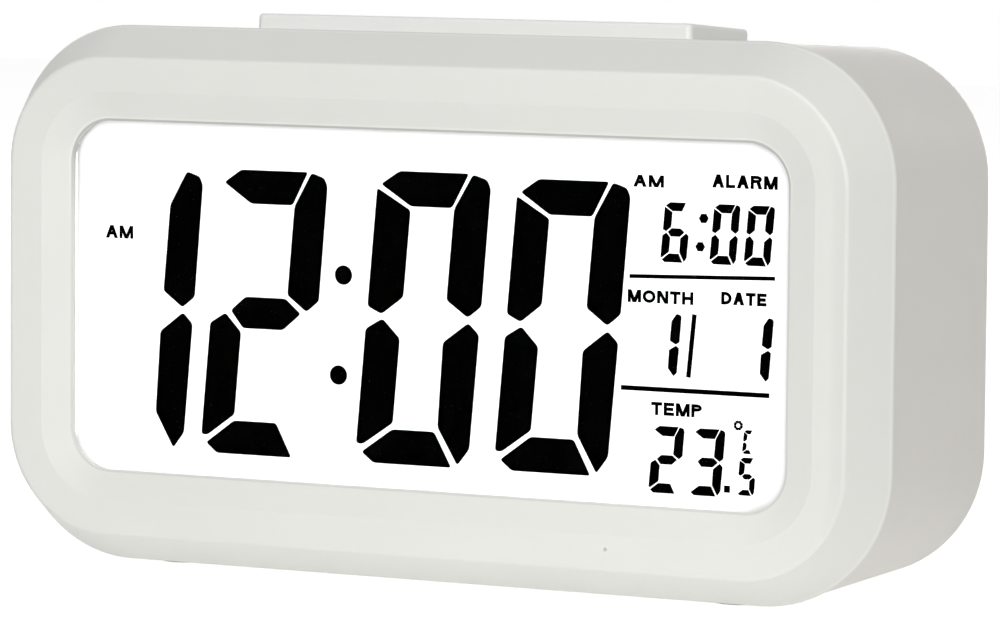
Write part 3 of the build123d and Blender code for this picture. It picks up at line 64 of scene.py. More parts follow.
class Shader:
    """A material with one Principled shader, and short ways to add texture to it."""

    def __init__(self, name, colour, roughness, **sockets):
        self.material = bpy.data.materials.new(name)
        self.material.use_nodes = True
        self.tree = self.material.node_tree
        self.shader = self.tree.nodes["Principled BSDF"]
        self.set("Base Color", colour)
        self.set("Roughness", roughness)
        for socket, value in sockets.items():
            self.set(socket.replace("_", " "), value)
        self.roughness = roughness

    def set(self, socket, value):
        self.shader.inputs[socket].default_value = value

    def node(self, kind, **values):
        """A new node, with some of its inputs or settings given by name."""
        node = self.tree.nodes.new(kind)
        for name, value in values.items():
            if name in node.inputs:
                node.inputs[name].default_value = value
            else:
                setattr(node, name, value)
        return node

    def link(self, out, into):
        self.tree.links.new(out, into)

    def place(self, stretch=(1, 1, 1)):
        """The piece's own coordinates in metres, stretched along an axis where asked."""
        coordinates = self.node("ShaderNodeTexCoord")
        mapping = self.node("ShaderNodeMapping")
        mapping.inputs["Scale"].default_value = stretch
        self.link(coordinates.outputs["Object"], mapping.inputs["Vector"])
        return mapping.outputs["Vector"]

    def noise(self, scale, detail, stretch=(1, 1, 1)):
        noise = self.node("ShaderNodeTexNoise", Scale=scale, Detail=detail, Roughness=NOISE_ROUGHNESS)
        self.link(self.place(stretch), noise.inputs["Vector"])
        return noise.outputs["Fac"]

    def cells(self, scale):
        cells = self.node("ShaderNodeTexVoronoi", Scale=scale)
        self.link(self.place(), cells.inputs["Vector"])
        return cells.outputs["Distance"]

    def spread(self, source, low, high, start=0.3, end=0.7):
        """Maps a value between start and end to one between low and high, and holds it there outside them."""
        spread = self.node("ShaderNodeMapRange")
        for socket, value in (("From Min", start), ("From Max", end), ("To Min", low), ("To Max", high)):
            spread.inputs[socket].default_value = value
        self.link(source, spread.inputs["Value"])
        return spread.outputs["Result"]

    def tint(self, source, colour_a, colour_b, start=0.3, end=0.7):
        """Colour that wanders between two tints as a texture does."""
        mix = self.node("ShaderNodeMix", data_type="RGBA")
        self.link(self.spread(source, 0.0, 1.0, start, end), mix.inputs["Factor"])
        a, b = [s for s in mix.inputs if s.type == "RGBA"]
        a.default_value = colour_a
        b.default_value = colour_b
        out = [s for s in mix.outputs if s.type == "RGBA"][0]
        self.link(out, self.shader.inputs["Base Color"])

    def bump(self, *layers):
        """Surface relief: pairs of a texture and its height in millimetres."""
        normal = None
        for source, height in layers:
            bump = self.node("ShaderNodeBump", Strength=1.0, Distance=height * MM)
            self.link(source, bump.inputs["Height"])
            if normal is not None:
                self.link(normal, bump.inputs["Normal"])
            normal = bump.outputs["Normal"]
        self.link(normal, self.shader.inputs["Normal"])

    def vector(self, operation, source, value=None):
        """One step of arithmetic on a vector."""
        step = self.node("ShaderNodeVectorMath", operation=operation)
        self.link(source, step.inputs[0])
        if value is not None:
            step.inputs[1].default_value = value
        return step

    def arithmetic(self, operation, first, second):
        """One step of arithmetic on two numbers, of which the second may be a plain one."""
        step = self.node("ShaderNodeMath", operation=operation)
        self.link(first, step.inputs[0])
        if isinstance(second, float):
            step.inputs[1].default_value = second
        else:
            self.link(second, step.inputs[1])
        return step.outputs[0]

    def product(self, first, second):
        return self.arithmetic("MULTIPLY", first, second)

    def band(self, value, low, high, soft):
        """1 where a value lies between two numbers, with soft ends."""
        rising = self.spread(value, 0.0, 1.0, low - soft, low)
        falling = self.spread(value, 1.0, 0.0, high, high + soft)
        return self.product(rising, falling)

    def radial(self, centre):
        """How far a place is from an axis along Y."""
        flat = self.vector("MULTIPLY", self.vector("SUBTRACT", self.place(), centre).outputs[0], (1, 0, 1))
        return self.vector("LENGTH", flat.outputs[0]).outputs["Value"]

    def out_of_window(self, shift=(0, 0)):
        """How far a place lies outside the window's outline, seen square on, and below 0 inside it."""
        corner_centre = (WINDOW_X - WINDOW_R, 0, WINDOW_Z - WINDOW_R)
        moved = self.vector("SUBTRACT", self.place(), (shift[0], 0, MIDDLE_Z + shift[1]))
        mirrored = self.vector("ABSOLUTE", moved.outputs[0])
        corner = self.vector("SUBTRACT", mirrored.outputs[0], corner_centre)
        beyond = self.vector("MAXIMUM", corner.outputs[0], (0, 0, 0))
        flat = self.vector("MULTIPLY", beyond.outputs[0], (1, 0, 1))
        length = self.vector("LENGTH", flat.outputs[0]).outputs["Value"]
        return self.arithmetic("SUBTRACT", length, WINDOW_R)

    def axis(self, name):
        parts = self.node("ShaderNodeSeparateXYZ")
        self.link(self.place(), parts.inputs[0])
        return parts.outputs[name]

    def overlay(self, mask, factor):
        """Darkens or lightens the base colour by a factor where a mask is 1."""
        base = self.shader.inputs["Base Color"].links[0].from_socket
        scaled = self.vector("SCALE", base)
        self.link(self.spread(mask, 1.0, factor, 0.0, 1.0), scaled.inputs["Scale"])
        self.link(scaled.outputs[0], self.shader.inputs["Base Color"])

    def rough(self, source, change):
        """Roughness that goes up and down by a change as a texture does."""
        wander = self.spread(source, self.roughness - change, self.roughness + change)
        self.link(wander, self.shader.inputs["Roughness"])


def shade(colour, factor):
    return (*[c * factor for c in colour[:3]], 1.0)


def moulding(name, colour, roughness, grain=0.004, cells=9000):
    """Injection-moulded plastic with a fine spark-eroded grain and a very slight unevenness of tint."""
    s = Shader(name, colour, roughness, IOR=PLASTIC_IOR)
    s.tint(s.noise(22, 5), shade(colour, 0.985), shade(colour, 1.01))
    s.rough(s.noise(160, 3), 0.04)
    s.bump((s.noise(cells, 2), grain), (s.noise(90, 2), 0.01))
    return s


def moulded_plastic(*values, **named):
    return moulding(*values, **named).material


# Painted lines of shade, shadow and highlight in the case plastic: where each starts and ends, and how soft
# its ends are
WINDOW_EDGE_SHADE = (-0.001, 0.00024, 0.0001)
LIP_HIGHLIGHT = (0.00036, 0.00056, 0.0001)
RIDGE_FRONT_SHADE = (-0.0235, -0.02288, 0.0001)
RIM_HIGHLIGHT = (-0.0158, -0.0155, 0.0001)
RIM_SHADOW = (-0.01546, -0.0145, 0.00004)
SEAM_SHADOW = (-0.0155, -0.0148, 0.0002)
# What each painted line multiplies the colour of the plastic by
WINDOW_EDGE_SHADE_FACTOR, WINDOW_TOP_SHADE_FACTOR, LIP_HIGHLIGHT_FACTOR = 0.86, 0.76, 1.06
RIDGE_FRONT_SHADE_FACTOR, RIM_HIGHLIGHT_FACTOR = 0.93, 1.05
RIM_SHADOW_FACTOR, SEAM_SHADOW_FACTOR = 0.93, 0.9
# Heights between which the painted shade along the window's edge deepens, and distances to the right of the
# middle over which the painted shade on the ridge comes in
TOP_SPAN = (0.048, 0.059)
RIGHT_SPAN = (0.0605, 0.0632)
# How strongly the painted glow on the wall of the pinhole shines, and between which distances from its axis
# it fades out
PINHOLE_PAINTED_GLOW = 0.07
PINHOLE_SPAN = (0.00032, 0.00036)


def frame_plastic(name, colour):
    """The case plastic, with painted shade and highlight at the window, on the ridge and at the seam, and a
    painted glow in the pinhole.
    """
    s = moulding(name, colour, PLASTIC_ROUGHNESS)
    out = s.out_of_window()
    top = s.spread(s.axis("Z"), 0.0, 1.0, *TOP_SPAN)
    # Painted shade along the window's edge, deeper at the top, and a painted highlight on the lip at the top
    edge = s.band(out, *WINDOW_EDGE_SHADE)
    s.overlay(edge, WINDOW_EDGE_SHADE_FACTOR)
    s.overlay(s.product(edge, top), WINDOW_TOP_SHADE_FACTOR)
    s.overlay(s.product(s.band(out, *LIP_HIGHLIGHT), top), LIP_HIGHLIGHT_FACTOR)
    depth = s.axis("Y")
    right = s.spread(s.axis("X"), 0.0, 1.0, *RIGHT_SPAN)
    # Painted shade on the front of the ridge at the right, a painted highlight round the rim and a painted
    # shadow behind it
    s.overlay(s.product(s.band(depth, *RIDGE_FRONT_SHADE), right), RIDGE_FRONT_SHADE_FACTOR)
    s.overlay(s.band(depth, *RIM_HIGHLIGHT), RIM_HIGHLIGHT_FACTOR)
    s.overlay(s.band(depth, *RIM_SHADOW), RIM_SHADOW_FACTOR)
    # Painted glow on the wall of the pinhole, standing for light that the white plastic lets through
    sensor_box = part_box("light_sensor")
    x, z = [(sensor_box[0][i] + sensor_box[1][i]) / 2 for i in (0, 2)]
    glow = s.spread(s.radial((x, 0, z)), PINHOLE_PAINTED_GLOW, 0.0, *PINHOLE_SPAN)
    s.set("Emission Color", (1.0, 1.0, 0.98, 1.0))
    s.link(glow, s.shader.inputs["Emission Strength"])
    return s.material


def housing_plastic(name, colour):
    """The same plastic, a little warmer, with a painted shadow of the seam along its front edge."""
    s = moulding(name, colour, PLASTIC_ROUGHNESS)
    s.overlay(s.band(s.axis("Y"), *SEAM_SHADOW), SEAM_SHADOW_FACTOR)
    return s.material


def metal(name, colour, roughness, stretch=(1, 1, 30)):
    """Rolled or plated metal with fine scratches along one way."""
    s = Shader(name, colour, roughness, Metallic=1.0)
    s.tint(s.noise(60, 4), shade(colour, 0.86), shade(colour, 1.05))
    s.rough(s.noise(400, 3, stretch), 0.08)
    s.bump((s.noise(2500, 3, stretch), 0.002))
    return s.material


def rubber(name, colour):
    s = Shader(name, colour, 0.78, IOR=1.48)
    s.tint(s.noise(120, 5), shade(colour, 0.9), shade(colour, 1.08))
    s.rough(s.noise(500, 3), 0.08)
    s.bump((s.noise(5000, 3), 0.01), (s.cells(1800), 0.006))
    return s.material


def circuit_board(name, colour):
    """Solder mask with the weave of the glass cloth faintly through it and darker tracks."""
    s = Shader(name, colour, 0.32, IOR=1.5, Coat_Weight=0.3)
    tracks = s.node("ShaderNodeTexBrick", Scale=160.0)
    tracks.inputs["Mortar Size"].default_value = 0.012
    s.link(s.place(), tracks.inputs["Vector"])
    s.tint(tracks.outputs["Fac"], colour, shade(colour, 0.62), 0.0, 1.0)
    s.bump((s.cells(1400), 0.006), (tracks.outputs["Fac"], -0.02))
    s.rough(s.noise(240, 3), 0.06)
    return s.material


def cell_jacket(name, colour):
    """Shrunk film round a battery cell, with long faint streaks of tint and relief."""
    s = Shader(name, colour, 0.28, IOR=1.52, Coat_Weight=0.4)
    s.tint(s.noise(40, 3), shade(colour, 0.8), shade(colour, 1.15))
    s.bump((s.noise(300, 2, (0.2, 1, 1)), 0.01))
    return s.material


def clear_plastic(name, roughness=0.0, ior=1.01, glow=0.0):
    """Clear plastic or glass; glow is a painted glow in it, such as the backlight that the display glass
    carries to its edges.
    """
    s = Shader(name, (1.0, 1.0, 1.0, 1.0), roughness, IOR=ior, Transmission_Weight=1.0)
    s.set("Emission Color", (1.0, 1.0, 1.0, 1.0))
    s.set("Emission Strength", glow)
    s.tint(s.noise(30, 3), (0.985, 0.99, 0.99, 1.0), (1.0, 1.0, 1.0, 1.0))
    if roughness > 0:
        s.rough(s.noise(80, 3), 0.01)
    s.bump((s.noise(40, 2), 0.0005))
    return s.material


# The painted shade of the lip on the display: how far its outline is moved from the window's, how far in it
# reaches, the heights and distances from the middle between which it comes in at the top and at the right,
# and how strong it is at the top beside the right
LIP_SHIFT = (-0.0008, -0.0001)
LIP_REACH = (-0.0022, 0.0)
LIP_TOP_SPAN = (0.045, 0.056)
LIP_RIGHT_SPAN = (0.045, 0.05)
LIP_TOP_SHARE = 0.6
# How much of the ground's own light and of its colour is left in that painted shade
LIP_GLOW_LEFT, LIP_COLOUR_LEFT = 0.1, 0.84


def display_field(name, colour, glow):
    """The lit white ground of the display, with the fine dots of the light guide faintly in it."""
    s = Shader(name, colour, 0.45, IOR=1.4)
    s.tint(s.cells(1500), shade(colour, 0.985), colour, 0.1, 0.6)
    s.set("Emission Color", (1.0, 1.0, 1.0, 1.0))
    # Painted shade of the window's lip, a little, on the ground along the top and the right
    inside = s.spread(s.out_of_window(LIP_SHIFT), 0.0, 1.0, *LIP_REACH)
    top = s.spread(s.axis("Z"), 0.0, LIP_TOP_SHARE, *LIP_TOP_SPAN)
    right = s.spread(s.axis("X"), 0.0, 1.0, *LIP_RIGHT_SPAN)
    shade_mask = s.product(inside, s.arithmetic("MAXIMUM", top, right))
    light = s.spread(shade_mask, glow, LIP_GLOW_LEFT * glow, 0.0, 1.0)
    s.link(light, s.shader.inputs["Emission Strength"])
    s.overlay(shade_mask, LIP_COLOUR_LEFT)
    s.bump((s.cells(2600), 0.001))
    return s.material


def dark_crystal(name):
    """The dark marks, matt and without gloss, as they look through the front film."""
    s = Shader(name, srgb(1, 1, 1), 0.8, IOR=1.0, Specular_IOR_Level=0.0)
    s.tint(s.noise(900, 3), srgb(0, 0, 0), srgb(3, 3, 3))
    s.bump((s.noise(3000, 2), 0.001))
    return s.material


def display_film(name):
    s = Shader(name, srgb(228, 230, 229), 0.3, IOR=1.45)
    s.tint(s.noise(60, 3), srgb(222, 224, 223), srgb(233, 235, 234))
    s.bump((s.noise(700, 2), 0.0008))
    return s.material


materials = {
    "frame": frame_plastic("front_frame_plastic", srgb(236, 236, 231)),
    "housing": housing_plastic("housing_plastic", srgb(233, 230, 223)),
    "snooze": moulded_plastic("snooze_bar_plastic", srgb(243, 244, 242), PLASTIC_ROUGHNESS),
    "key": moulded_plastic("white_key_plastic", srgb(234, 232, 226), 0.38, grain=0.003),
    "holder": moulded_plastic("holder_plastic", srgb(214, 213, 206), 0.55),
    "black": moulded_plastic("component_plastic", srgb(26, 26, 28), 0.5),
    "film": display_film("display_film"),
    "clear": clear_plastic("clear_window"),
    "guide": clear_plastic("light_guide_acrylic", 0.12, 1.49),
    "glass": clear_plastic("display_glass", 0.03, 1.5),
    # The front glass has a painted glow, standing for backlight that it carries to its edges
    "glass_painted_glow": clear_plastic("display_glass_painted_glow", 0.03, 1.5, 0.38),
    # The sensor lens has a painted glow, which lightens it in its deep pinhole
    "lens": clear_plastic("sensor_lens_painted_glow", 0.15, 1.5, 0.3),
    "field": display_field("display_field", srgb(238, 239, 238), 0.35),
    "silicone": rubber("elastomer_grey", srgb(92, 94, 98)),
    "foot": rubber("foot_rubber", srgb(196, 196, 192)),
    "red": rubber("red_insulation", srgb(178, 30, 24)),
    "dark": rubber("black_insulation", srgb(24, 24, 24)),
    "ribbon": rubber("ribbon_grey", srgb(182, 182, 180)),
    "board": circuit_board("board_green", srgb(22, 98, 50)),
    "plated": metal("nickel_plate", srgb(205, 203, 198), 0.25),
    "steel": metal("zinc_steel", srgb(178, 178, 180), 0.34),
    "brass": metal("rolled_brass", srgb(206, 172, 96), 0.3, (1, 30, 1)),
    "ceramic": moulded_plastic("fired_ceramic", srgb(224, 218, 200), 0.6, 0.01, 4000),
    "cell": cell_jacket("cell_jacket", srgb(60, 92, 128)),
    "led": moulded_plastic("led_lens", srgb(236, 222, 150), 0.2),
    "digit": dark_crystal("dark_liquid_crystal"),
}

# Which CAD nodes each material is on
finishes = {
    "frame": ["front_frame"],
    "housing": ["rear_housing", "battery_door"],
    "snooze": ["snooze_bar"],
    "key": ["mode_key", "set_key", "up_key", "down_key", "alarm_key", "sensor_knob"],
    "clear": ["display_window"],
    "field": ["lcd_front_polariser"],
    "glass_painted_glow": ["lcd_front_glass"],
    "glass": ["lcd_rear_glass"],
    "lens": ["light_sensor"],
    "film": ["lcd_rear_polariser", "backlight_diffuser", "reflector_sheet"],
    "guide": ["light_guide"],
    "led": ["backlight_leds"],
    "holder": ["lcd_holder", "lead_sockets"],
    "silicone": ["elastomer_connector"],
    "board": ["main_board", "led_board", "key_board", "snooze_board"],
    "black": ["controller_chip", "capacitors", "chip_resistors", "thermistor",
              "mode_plunger", "set_plunger", "up_plunger", "down_plunger", "alarm_plunger",
              "snooze_plungers", "key_switches", "snooze_switches", "sensor_lever"],
    "plated": ["quartz_crystal", "battery_bridges", "battery_terminals", "slide_switch"],
    "steel": ["housing_screws", "board_screws"],
    "brass": ["buzzer_disc"],
    "ceramic": ["buzzer_ceramic"],
    "foot": ["rubber_feet"],
    "cell": ["battery_cell_1", "battery_cell_2", "battery_cell_3"],
    "red": ["battery_lead_positive"],
    "dark": ["battery_lead_negative", "buzzer_leads"],
    "ribbon": ["key_ribbon", "snooze_leads"],
}
for key, names in finishes.items():
    for name in names:
        slots = nodes[name].data.materials
        if len(slots) == 0:
            slots.append(materials[key])
        for index in range(len(slots)):
            slots[index] = materials[key]

# What the display shows

film_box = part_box("lcd_front_polariser")
FIELD_Y = film_box[0][1]
# How far the front and the back of a mark stand in front of the film
MARK_FRONT = 0.045 * MM
MARK_BACK = 0.01 * MM
# How far a digit leans to the right for each millimetre of height
SLANT = 0.086
# How much of a bar's width its corners are rounded by, and how much of a side a corner takes at most
CORNER_ROUNDING, CORNER_LIMIT = 0.09, 0.45
CORNER_STEPS = 3
LETTER_STROKE = 0.46
LETTER_GAP = 0.13

# Which bars of a seven-bar digit are dark. They are a top, b upper right, c lower right, d bottom,
# e lower left, f upper left and g middle
BARS = {"0": "abcdef", "1": "bc", "2": "abged", "3": "abgcd", "5": "afgcd", "6": "afgecd", "C": "afed"}


def bars(width, height, s, t):
    """Outlines of the seven bars of an upright digit round its middle. Its upright bars are s wide, and its
    level ones t thick. The ends of the bars slope, and leave a narrow gap between neighbours."""
    w, h = width / 2, height / 2
    x, z = w - s, h - t
    return {
        "a": [(-w + 0.1 * s, h - 0.39 * t), (-w + 0.6 * s, h), (w - 0.66 * s, h), (x - 0.06 * s, z), (-x, z)],
        "b": [(w - 0.55 * s, h - 0.02 * t), (w - 0.14 * s, h - 0.16 * t),
              (w - 0.02 * s, h - 0.41 * t), (w, 0.44 * t),
              (w - 0.36 * s, 0.105 * t), (x, 0.58 * t), (x, z - 0.03 * t)],
        "c": [(w - 0.33 * s, -0.04 * t), (w, -0.37 * t), (w, -h + 0.56 * t), (w - 0.3 * s, -h + 0.075 * t),
              (x + 0.05 * s, -z + 0.14 * t), (x, -0.63 * t)],
        "d": [(-x, -z), (x - 0.03 * s, -z), (w - 0.46 * s, -h), (-w + 0.54 * s, -h),
              (-w + 0.17 * s, -h + 0.3 * t)],
        "e": [(-w + 0.46 * s, -0.035 * t), (-x, -0.59 * t), (-x, -z + 0.18 * t),
              (-w + 0.19 * s, -h + 0.52 * t), (-w, -h + 0.54 * t), (-w, -0.35 * t)],
        "f": [(-w, h - 0.5 * t), (-x, z - 0.11 * t), (-x, 0.6 * t), (-w + 0.42 * s, 0.085 * t),
              (-w, 0.3 * t)],
        "g": [(-w + 0.62 * s, 0.05 * t), (-x + 0.05 * s, 0.47 * t), (x - 0.05 * s, 0.47 * t),
              (w - 0.53 * s, 0.04 * t), (x - 0.05 * s, -0.47 * t), (-x + 0.05 * s, -0.47 * t)],
    }


def soften(outline, radius):
    """Rounds the corners of an outline a little."""
    out = []
    count = len(outline)
    for i, corner in enumerate(outline):
        corner = Vector(corner)
        before = Vector(outline[i - 1]) - corner
        after = Vector(outline[(i + 1) % count]) - corner
        reach = min(radius, before.length * CORNER_LIMIT, after.length * CORNER_LIMIT)
        start = corner + before.normalized() * reach
        end = corner + after.normalized() * reach
        for step in range(CORNER_STEPS + 1):
            t = step / CORNER_STEPS
            out.append(start * (1 - t) ** 2 + corner * 2 * t * (1 - t) + end * t ** 2)
    return out


LETTER_WIDTHS = {"A": 1.0, "M": 1.12, "L": 0.76, "R": 0.96, "O": 1.08, "N": 0.94,
                 "T": 0.88, "H": 0.94, "D": 0.94, "E": 0.84, "P": 0.88}


def arc_band(cx, cz, radius_x, radius_z, stroke, start, end, steps=12):
    """Curved stroke of a letter, from one angle to another."""
    angles = [math.radians(start + (end - start) * i / steps) for i in range(steps + 1)]

    def points(rx, rz):
        return [(cx + rx * math.cos(a), cz + rz * math.sin(a)) for a in angles]

    outside = points(radius_x, radius_z)
    inside = points(radius_x - stroke, radius_z - stroke)
    return [[outside[i], outside[i + 1], inside[i + 1], inside[i]] for i in range(steps)]


def slanted(x_low, z_low, x_high, z_high, width):
    """Stroke with level ends."""
    return [(x_low, z_low), (x_low + width, z_low), (x_high + width, z_high), (x_high, z_high)]


def letter(character, w, h, t):
    """Shapes that make up one capital, in a box of width w and height h, with strokes t thick."""
    left = slanted(0, 0, 0, h, t)
    right = slanted(w - t, 0, w - t, h, t)
    low, high = slanted(0, 0, 0, t, w), slanted(0, h - t, 0, h, w)
    # Sloping strokes are wider along the level, so that they look as thick as upright ones
    cut = t * 1.2
    if character == "A":
        middle = (w - cut) / 2
        bar_x, bar_z = w * 0.22, h * 0.26
        return [slanted(0, 0, middle, h, cut), slanted(w - cut, 0, middle, h, cut),
                slanted(bar_x, bar_z, bar_x, bar_z + t, w - 2 * bar_x)]
    if character == "M":
        middle = (w - cut) / 2
        return [left, right, slanted(middle, 0, 0, h, cut), slanted(middle, 0, w - cut, h, cut)]
    if character == "N":
        return [left, right, slanted(w - cut, 0, 0, h, cut)]
    if character == "L":
        return [left, low]
    if character == "T":
        return [high, slanted((w - t) / 2, 0, (w - t) / 2, h, t)]
    if character == "H":
        return [left, right, slanted(0, (h - t) / 2, 0, (h + t) / 2, w)]
    if character == "E":
        return [left, low, high, slanted(0, (h - t) / 2, 0, (h + t) / 2, w * 0.92)]
    if character == "O":
        return arc_band(w / 2, h / 2, w / 2, h / 2, t, 0, 360, 24)
    if character == "D":
        straight = w * 0.35
        return [left, slanted(0, 0, 0, t, straight), slanted(0, h - t, 0, h, straight),
                *arc_band(straight, h / 2, w - straight, h / 2, t, -90, 90)]
    # P and R
    bowl = h * 0.56
    straight = w * 0.5
    shapes = [left, slanted(0, h - bowl, 0, h - bowl + t, straight), slanted(0, h - t, 0, h, straight),
              *arc_band(straight, h - bowl / 2, w * 0.96 - straight, bowl / 2, t, -90, 90)]
    if character == "R":
        shapes.append(slanted(w - cut, 0, w * 0.42, h - bowl + t, cut))
    return shapes


class Marks:
    """Thin dark shapes that lie on the display, gathered into one piece."""

    def __init__(self):
        self.mesh = bmesh.new()

    def add(self, outline):
        """One flat shape, given as points in millimetres on the display, centred on the frame."""
        front, back = [], []
        for x, z in outline:
            place = Vector((x * MM, FIELD_Y, MIDDLE_Z + z * MM))
            front.append(self.mesh.verts.new(place - Vector((0, MARK_FRONT, 0))))
            back.append(self.mesh.verts.new(place - Vector((0, MARK_BACK, 0))))
        self.mesh.faces.new(front)
        self.mesh.faces.new(list(reversed(back)))
        count = len(front)
        for i in range(count):
            j = (i + 1) % count
            self.mesh.faces.new((front[i], back[i], back[j], front[j]))

    def digit(self, character, x, z, width, height, stroke, bar):
        shapes = bars(width, height, stroke, bar)
        for key in BARS[character]:
            outline = soften(shapes[key], CORNER_ROUNDING * stroke)
            self.add([(x + px + SLANT * pz, z + pz) for px, pz in outline])

    def rule(self, start, end, thickness):
        start, end = Vector(start), Vector(end)
        side = (end - start).normalized().orthogonal() * thickness / 2
        self.add([start + side, end + side, end - side, start - side])

    def dot(self, x, z, radius, sides=28):
        self.add([(x + radius * math.cos(a), z + radius * math.sin(a))
                  for a in (2 * math.pi * i / sides for i in range(sides))])

    def ring(self, x, z, radius, thickness, sides):
        """Small open ring drawn as short strokes."""
        points = [(x + radius * math.cos(a), z + radius * math.sin(a))
                  for a in (2 * math.pi * i / sides for i in range(sides))]
        for i in range(sides):
            self.rule(points[i], points[(i + 1) % sides], thickness)

    def text(self, words, x_span, z_span):
        """Plain capitals, fitted to a rectangle on the display."""
        total = sum(LETTER_WIDTHS[c] for c in words) + LETTER_GAP * (len(words) - 1)
        unit = (x_span[1] - x_span[0]) / total
        x = x_span[0]
        height = z_span[1] - z_span[0]
        for character in words:
            width = LETTER_WIDTHS[character] * unit
            for shape in letter(character, width, height, LETTER_STROKE):
                self.add([(x + px, z_span[0] + pz) for px, pz in shape])
            x += width + LETTER_GAP * unit

    def finish(self, name):
        """Makes the shapes one piece, on the case."""
        bmesh.ops.recalc_face_normals(self.mesh, faces=self.mesh.faces)
        mesh = bpy.data.meshes.new(name)
        self.mesh.to_mesh(mesh)
        self.mesh.free()
        mesh.materials.append(materials["digit"])
        piece = bpy.data.objects.new(name, mesh)
        bpy.context.collection.objects.link(piece)
        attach(piece, "case")


# Places on the display are in millimetres from the middle of the frame, to the right and up
time_marks = Marks()
time_marks.digit("1", -44.84, -1.82, width=17.15, height=39.35, stroke=5.07, bar=4.7)
time_marks.digit("2", -25.04, -1.57, width=16.85, height=39.75, stroke=5.02, bar=4.7)
time_marks.digit("0", -0.28, -1.22, width=17.45, height=40.35, stroke=5.42, bar=4.8)
time_marks.digit("0", 20.82, -1.32, width=17.0, height=39.85, stroke=5.17, bar=4.8)
time_marks.dot(-12.62, 4.31, 1.35)
time_marks.dot(-13.31, -9.55, 1.35)
time_marks.finish("display_time_digits")

alarm_marks = Marks()
for character, x in zip("600", (37.45, 44.62, 49.6)):
    alarm_marks.digit(character, x, 12.16, width=3.85, height=8.05, stroke=1.2, bar=1.2)
alarm_marks.dot(41.52, 14.2, 0.72, 6)
alarm_marks.dot(41.05, 10.4, 0.72, 6)
alarm_marks.finish("display_alarm_digits")

date_marks = Marks()
for x, height in ((36.5, 8.5), (49.88, 8.6)):
    date_marks.digit("1", x, -2.95, width=3.3, height=height, stroke=1.45, bar=1.0)
date_marks.rule((40.33, 1.33), (39.53, -7.17), 0.68)
date_marks.finish("display_date_digits")

temperature_marks = Marks()
for character, x in zip("23", (36.47, 42.44)):
    temperature_marks.digit(character, x, -18.4, width=4.6, height=9.05, stroke=1.4, bar=1.35)
temperature_marks.digit("5", 48.22, -19.98, width=2.5, height=5.1, stroke=0.84, bar=0.8)
temperature_marks.digit("C", 48.4, -15.34, width=1.6, height=3.2, stroke=0.58, bar=0.55)
temperature_marks.rule((44.92, -21.81), (45.8, -21.81), 0.95)
temperature_marks.ring(46.89, -13.19, 0.52, 0.4, 8)
temperature_marks.finish("display_temperature_digits")

label_marks = Marks()
for words, x_span, z_span in (
        ("AM", (-50.47, -46.02), (7.97, 9.78)),
        ("AM", (31.13, 35.65), (18.08, 19.7)),
        ("ALARM", (42.68, 52.14), (18.36, 20.14)),
        ("MONTH", (30.5, 40.14), (2.56, 4.28)),
        ("DATE", (44.19, 50.75), (2.84, 4.56)),
        ("TEMP", (34.14, 41.64), (-12.46, -10.69))):
    label_marks.text(words, x_span, z_span)
label_marks.rule((30.72, 6.05), (51.93, 6.6), 0.55)
label_marks.rule((29.63, -8.99), (51.34, -8.99), 0.66)
label_marks.finish("display_labels_and_rules")

# Floor, light and camera

FLOOR_HALF = 1.5
# The floor's own light: its strength close to the clock, further off and where it is seen, and the distances
# between which it falls
GLOW_NEAR, GLOW_FAR, GLOW_SEEN = 0.16, 0.06, 0.8
GLOW_START, GLOW_END = 0.05, 0.3
WORLD_FILL = 0.15
LAMP_AIM = Vector((0, 0, 0.04))

# The camera of the photograph, from the same measurements that sized the case. Angles are in degrees
CAMERA_AZIMUTH, CAMERA_ELEVATION, CAMERA_ROLL = 26.219, 5.019, 0.487
CAMERA_DISTANCE = 0.71738
CAMERA_TARGET = Vector((0.01334, case_box[0][1], MIDDLE_Z + 0.00022))
SENSOR_WIDTH = 36.0
FOCAL_PIXELS, PICTURE_PIXELS = 5319, 1000


def seen_background(tree):
    """1 where the camera sees a surface straight, in gloss or through glass, and 0 elsewhere."""
    path = tree.nodes.new("ShaderNodeLightPath")
    total = path.outputs["Is Camera Ray"]
    for other in ("Is Glossy Ray", "Is Transmission Ray"):
        maximum = tree.nodes.new("ShaderNodeMath")
        maximum.operation = "MAXIMUM"
        tree.links.new(total, maximum.inputs[0])
        tree.links.new(path.outputs[other], maximum.inputs[1])
        total = maximum.outputs[0]
    return total


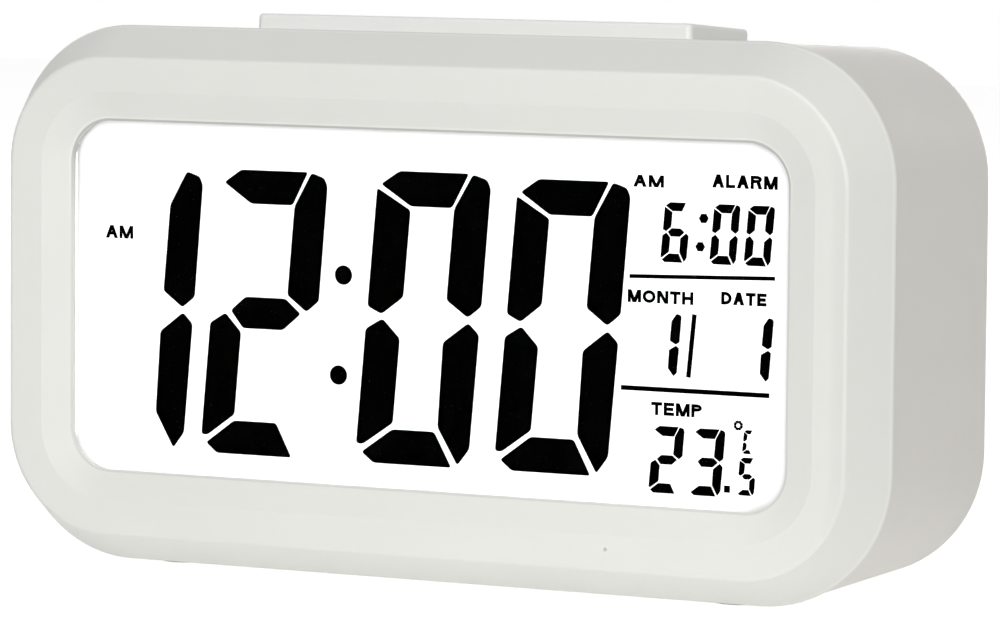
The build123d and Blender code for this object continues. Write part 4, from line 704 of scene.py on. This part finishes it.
def make_floor():
    mesh = bpy.data.meshes.new("floor")
    corners = [(x * FLOOR_HALF, y * FLOOR_HALF, 0) for x, y in ((-1, -1), (1, -1), (1, 1), (-1, 1))]
    mesh.from_pydata(corners, [], [(0, 1, 2, 3)])
    floor = bpy.data.objects.new("floor", mesh)
    bpy.context.collection.objects.link(floor)
    material = bpy.data.materials.new("floor_white")
    material.use_nodes = True
    tree = material.node_tree
    shader = tree.nodes["Principled BSDF"]
    shader.inputs["Base Color"].default_value = (0.82, 0.82, 0.82, 1)
    shader.inputs["Roughness"].default_value = 0.9
    shader.inputs["Specular IOR Level"].default_value = 0.1
    # The sheet under the clock throws more light up close to it than further off
    place = tree.nodes.new("ShaderNodeTexCoord")
    distance = tree.nodes.new("ShaderNodeVectorMath")
    distance.operation = "LENGTH"
    tree.links.new(place.outputs["Object"], distance.inputs[0])
    bounce = tree.nodes.new("ShaderNodeMapRange")
    bounce.interpolation_type = "SMOOTHSTEP"
    for socket, value in (("From Min", GLOW_START), ("From Max", GLOW_END),
                          ("To Min", GLOW_NEAR), ("To Max", GLOW_FAR)):
        bounce.inputs[socket].default_value = value
    tree.links.new(distance.outputs["Value"], bounce.inputs["Value"])
    glow = tree.nodes.new("ShaderNodeMapRange")
    tree.links.new(bounce.outputs["Result"], glow.inputs["To Min"])
    glow.inputs["To Max"].default_value = GLOW_SEEN
    tree.links.new(seen_background(tree), glow.inputs["Value"])
    shader.inputs["Emission Color"].default_value = (1, 1, 1, 1)
    tree.links.new(glow.outputs["Result"], shader.inputs["Emission Strength"])
    mesh.materials.append(material)


def make_world():
    """An even pale light, and a white background where it is seen."""
    world = bpy.data.worlds.new("studio")
    bpy.context.scene.world = world
    world.use_nodes = True
    tree = world.node_tree
    background = tree.nodes["Background"]
    background.inputs["Color"].default_value = (1, 1, 1, 1)
    strength = tree.nodes.new("ShaderNodeMapRange")
    strength.inputs["To Min"].default_value = WORLD_FILL
    strength.inputs["To Max"].default_value = 1.0
    tree.links.new(seen_background(tree), strength.inputs["Value"])
    tree.links.new(strength.outputs["Result"], background.inputs["Strength"])


def make_lamp(name, place, size, power):
    """A soft box turned to the clock."""
    lamp = bpy.data.lights.new(name, "AREA")
    lamp.shape = "RECTANGLE"
    lamp.size, lamp.size_y = size
    lamp.energy = power
    holder = bpy.data.objects.new(name, lamp)
    holder.location = place
    holder.rotation_euler = (LAMP_AIM - Vector(place)).to_track_quat("-Z", "Y").to_euler()
    bpy.context.collection.objects.link(holder)


def make_camera():
    azimuth, elevation, roll = (math.radians(a) for a in (CAMERA_AZIMUTH, CAMERA_ELEVATION, CAMERA_ROLL))
    back = Vector((math.sin(azimuth) * math.cos(elevation), -math.cos(azimuth) * math.cos(elevation),
                   math.sin(elevation)))
    right = Vector((math.cos(azimuth), math.sin(azimuth), 0))
    up = back.cross(right)
    right_rolled = right * math.cos(roll) + up * math.sin(roll)
    up_rolled = up * math.cos(roll) - right * math.sin(roll)
    camera = bpy.data.cameras.new("camera")
    camera.sensor_fit = "HORIZONTAL"
    camera.sensor_width = SENSOR_WIDTH
    camera.lens = SENSOR_WIDTH * FOCAL_PIXELS / PICTURE_PIXELS
    camera.clip_start = 0.01
    camera.clip_end = 20
    holder = bpy.data.objects.new("camera", camera)
    rows = Matrix((right_rolled, up_rolled, back)).transposed().to_4x4()
    holder.matrix_world = Matrix.Translation(CAMERA_TARGET + back * CAMERA_DISTANCE) @ rows
    bpy.context.collection.objects.link(holder)
    bpy.context.scene.camera = holder


make_floor()
make_world()
make_lamp("front_soft_box", place=(0.42, -0.88, 0.26), size=(0.6, 0.3), power=5.1)
make_lamp("side_soft_box", place=(0.62, -0.75, 0.2), size=(0.5, 0.3), power=0.1)
make_lamp("back_soft_box", place=(-0.2, 1.0, 0.12), size=(0.7, 0.2), power=2.2)
make_lamp("overhead_soft_box", place=(0.1, -0.3, 0.95), size=(0.9, 0.6), power=2.7)
make_camera()
bpy.context.scene.view_settings.view_transform = "Standard"
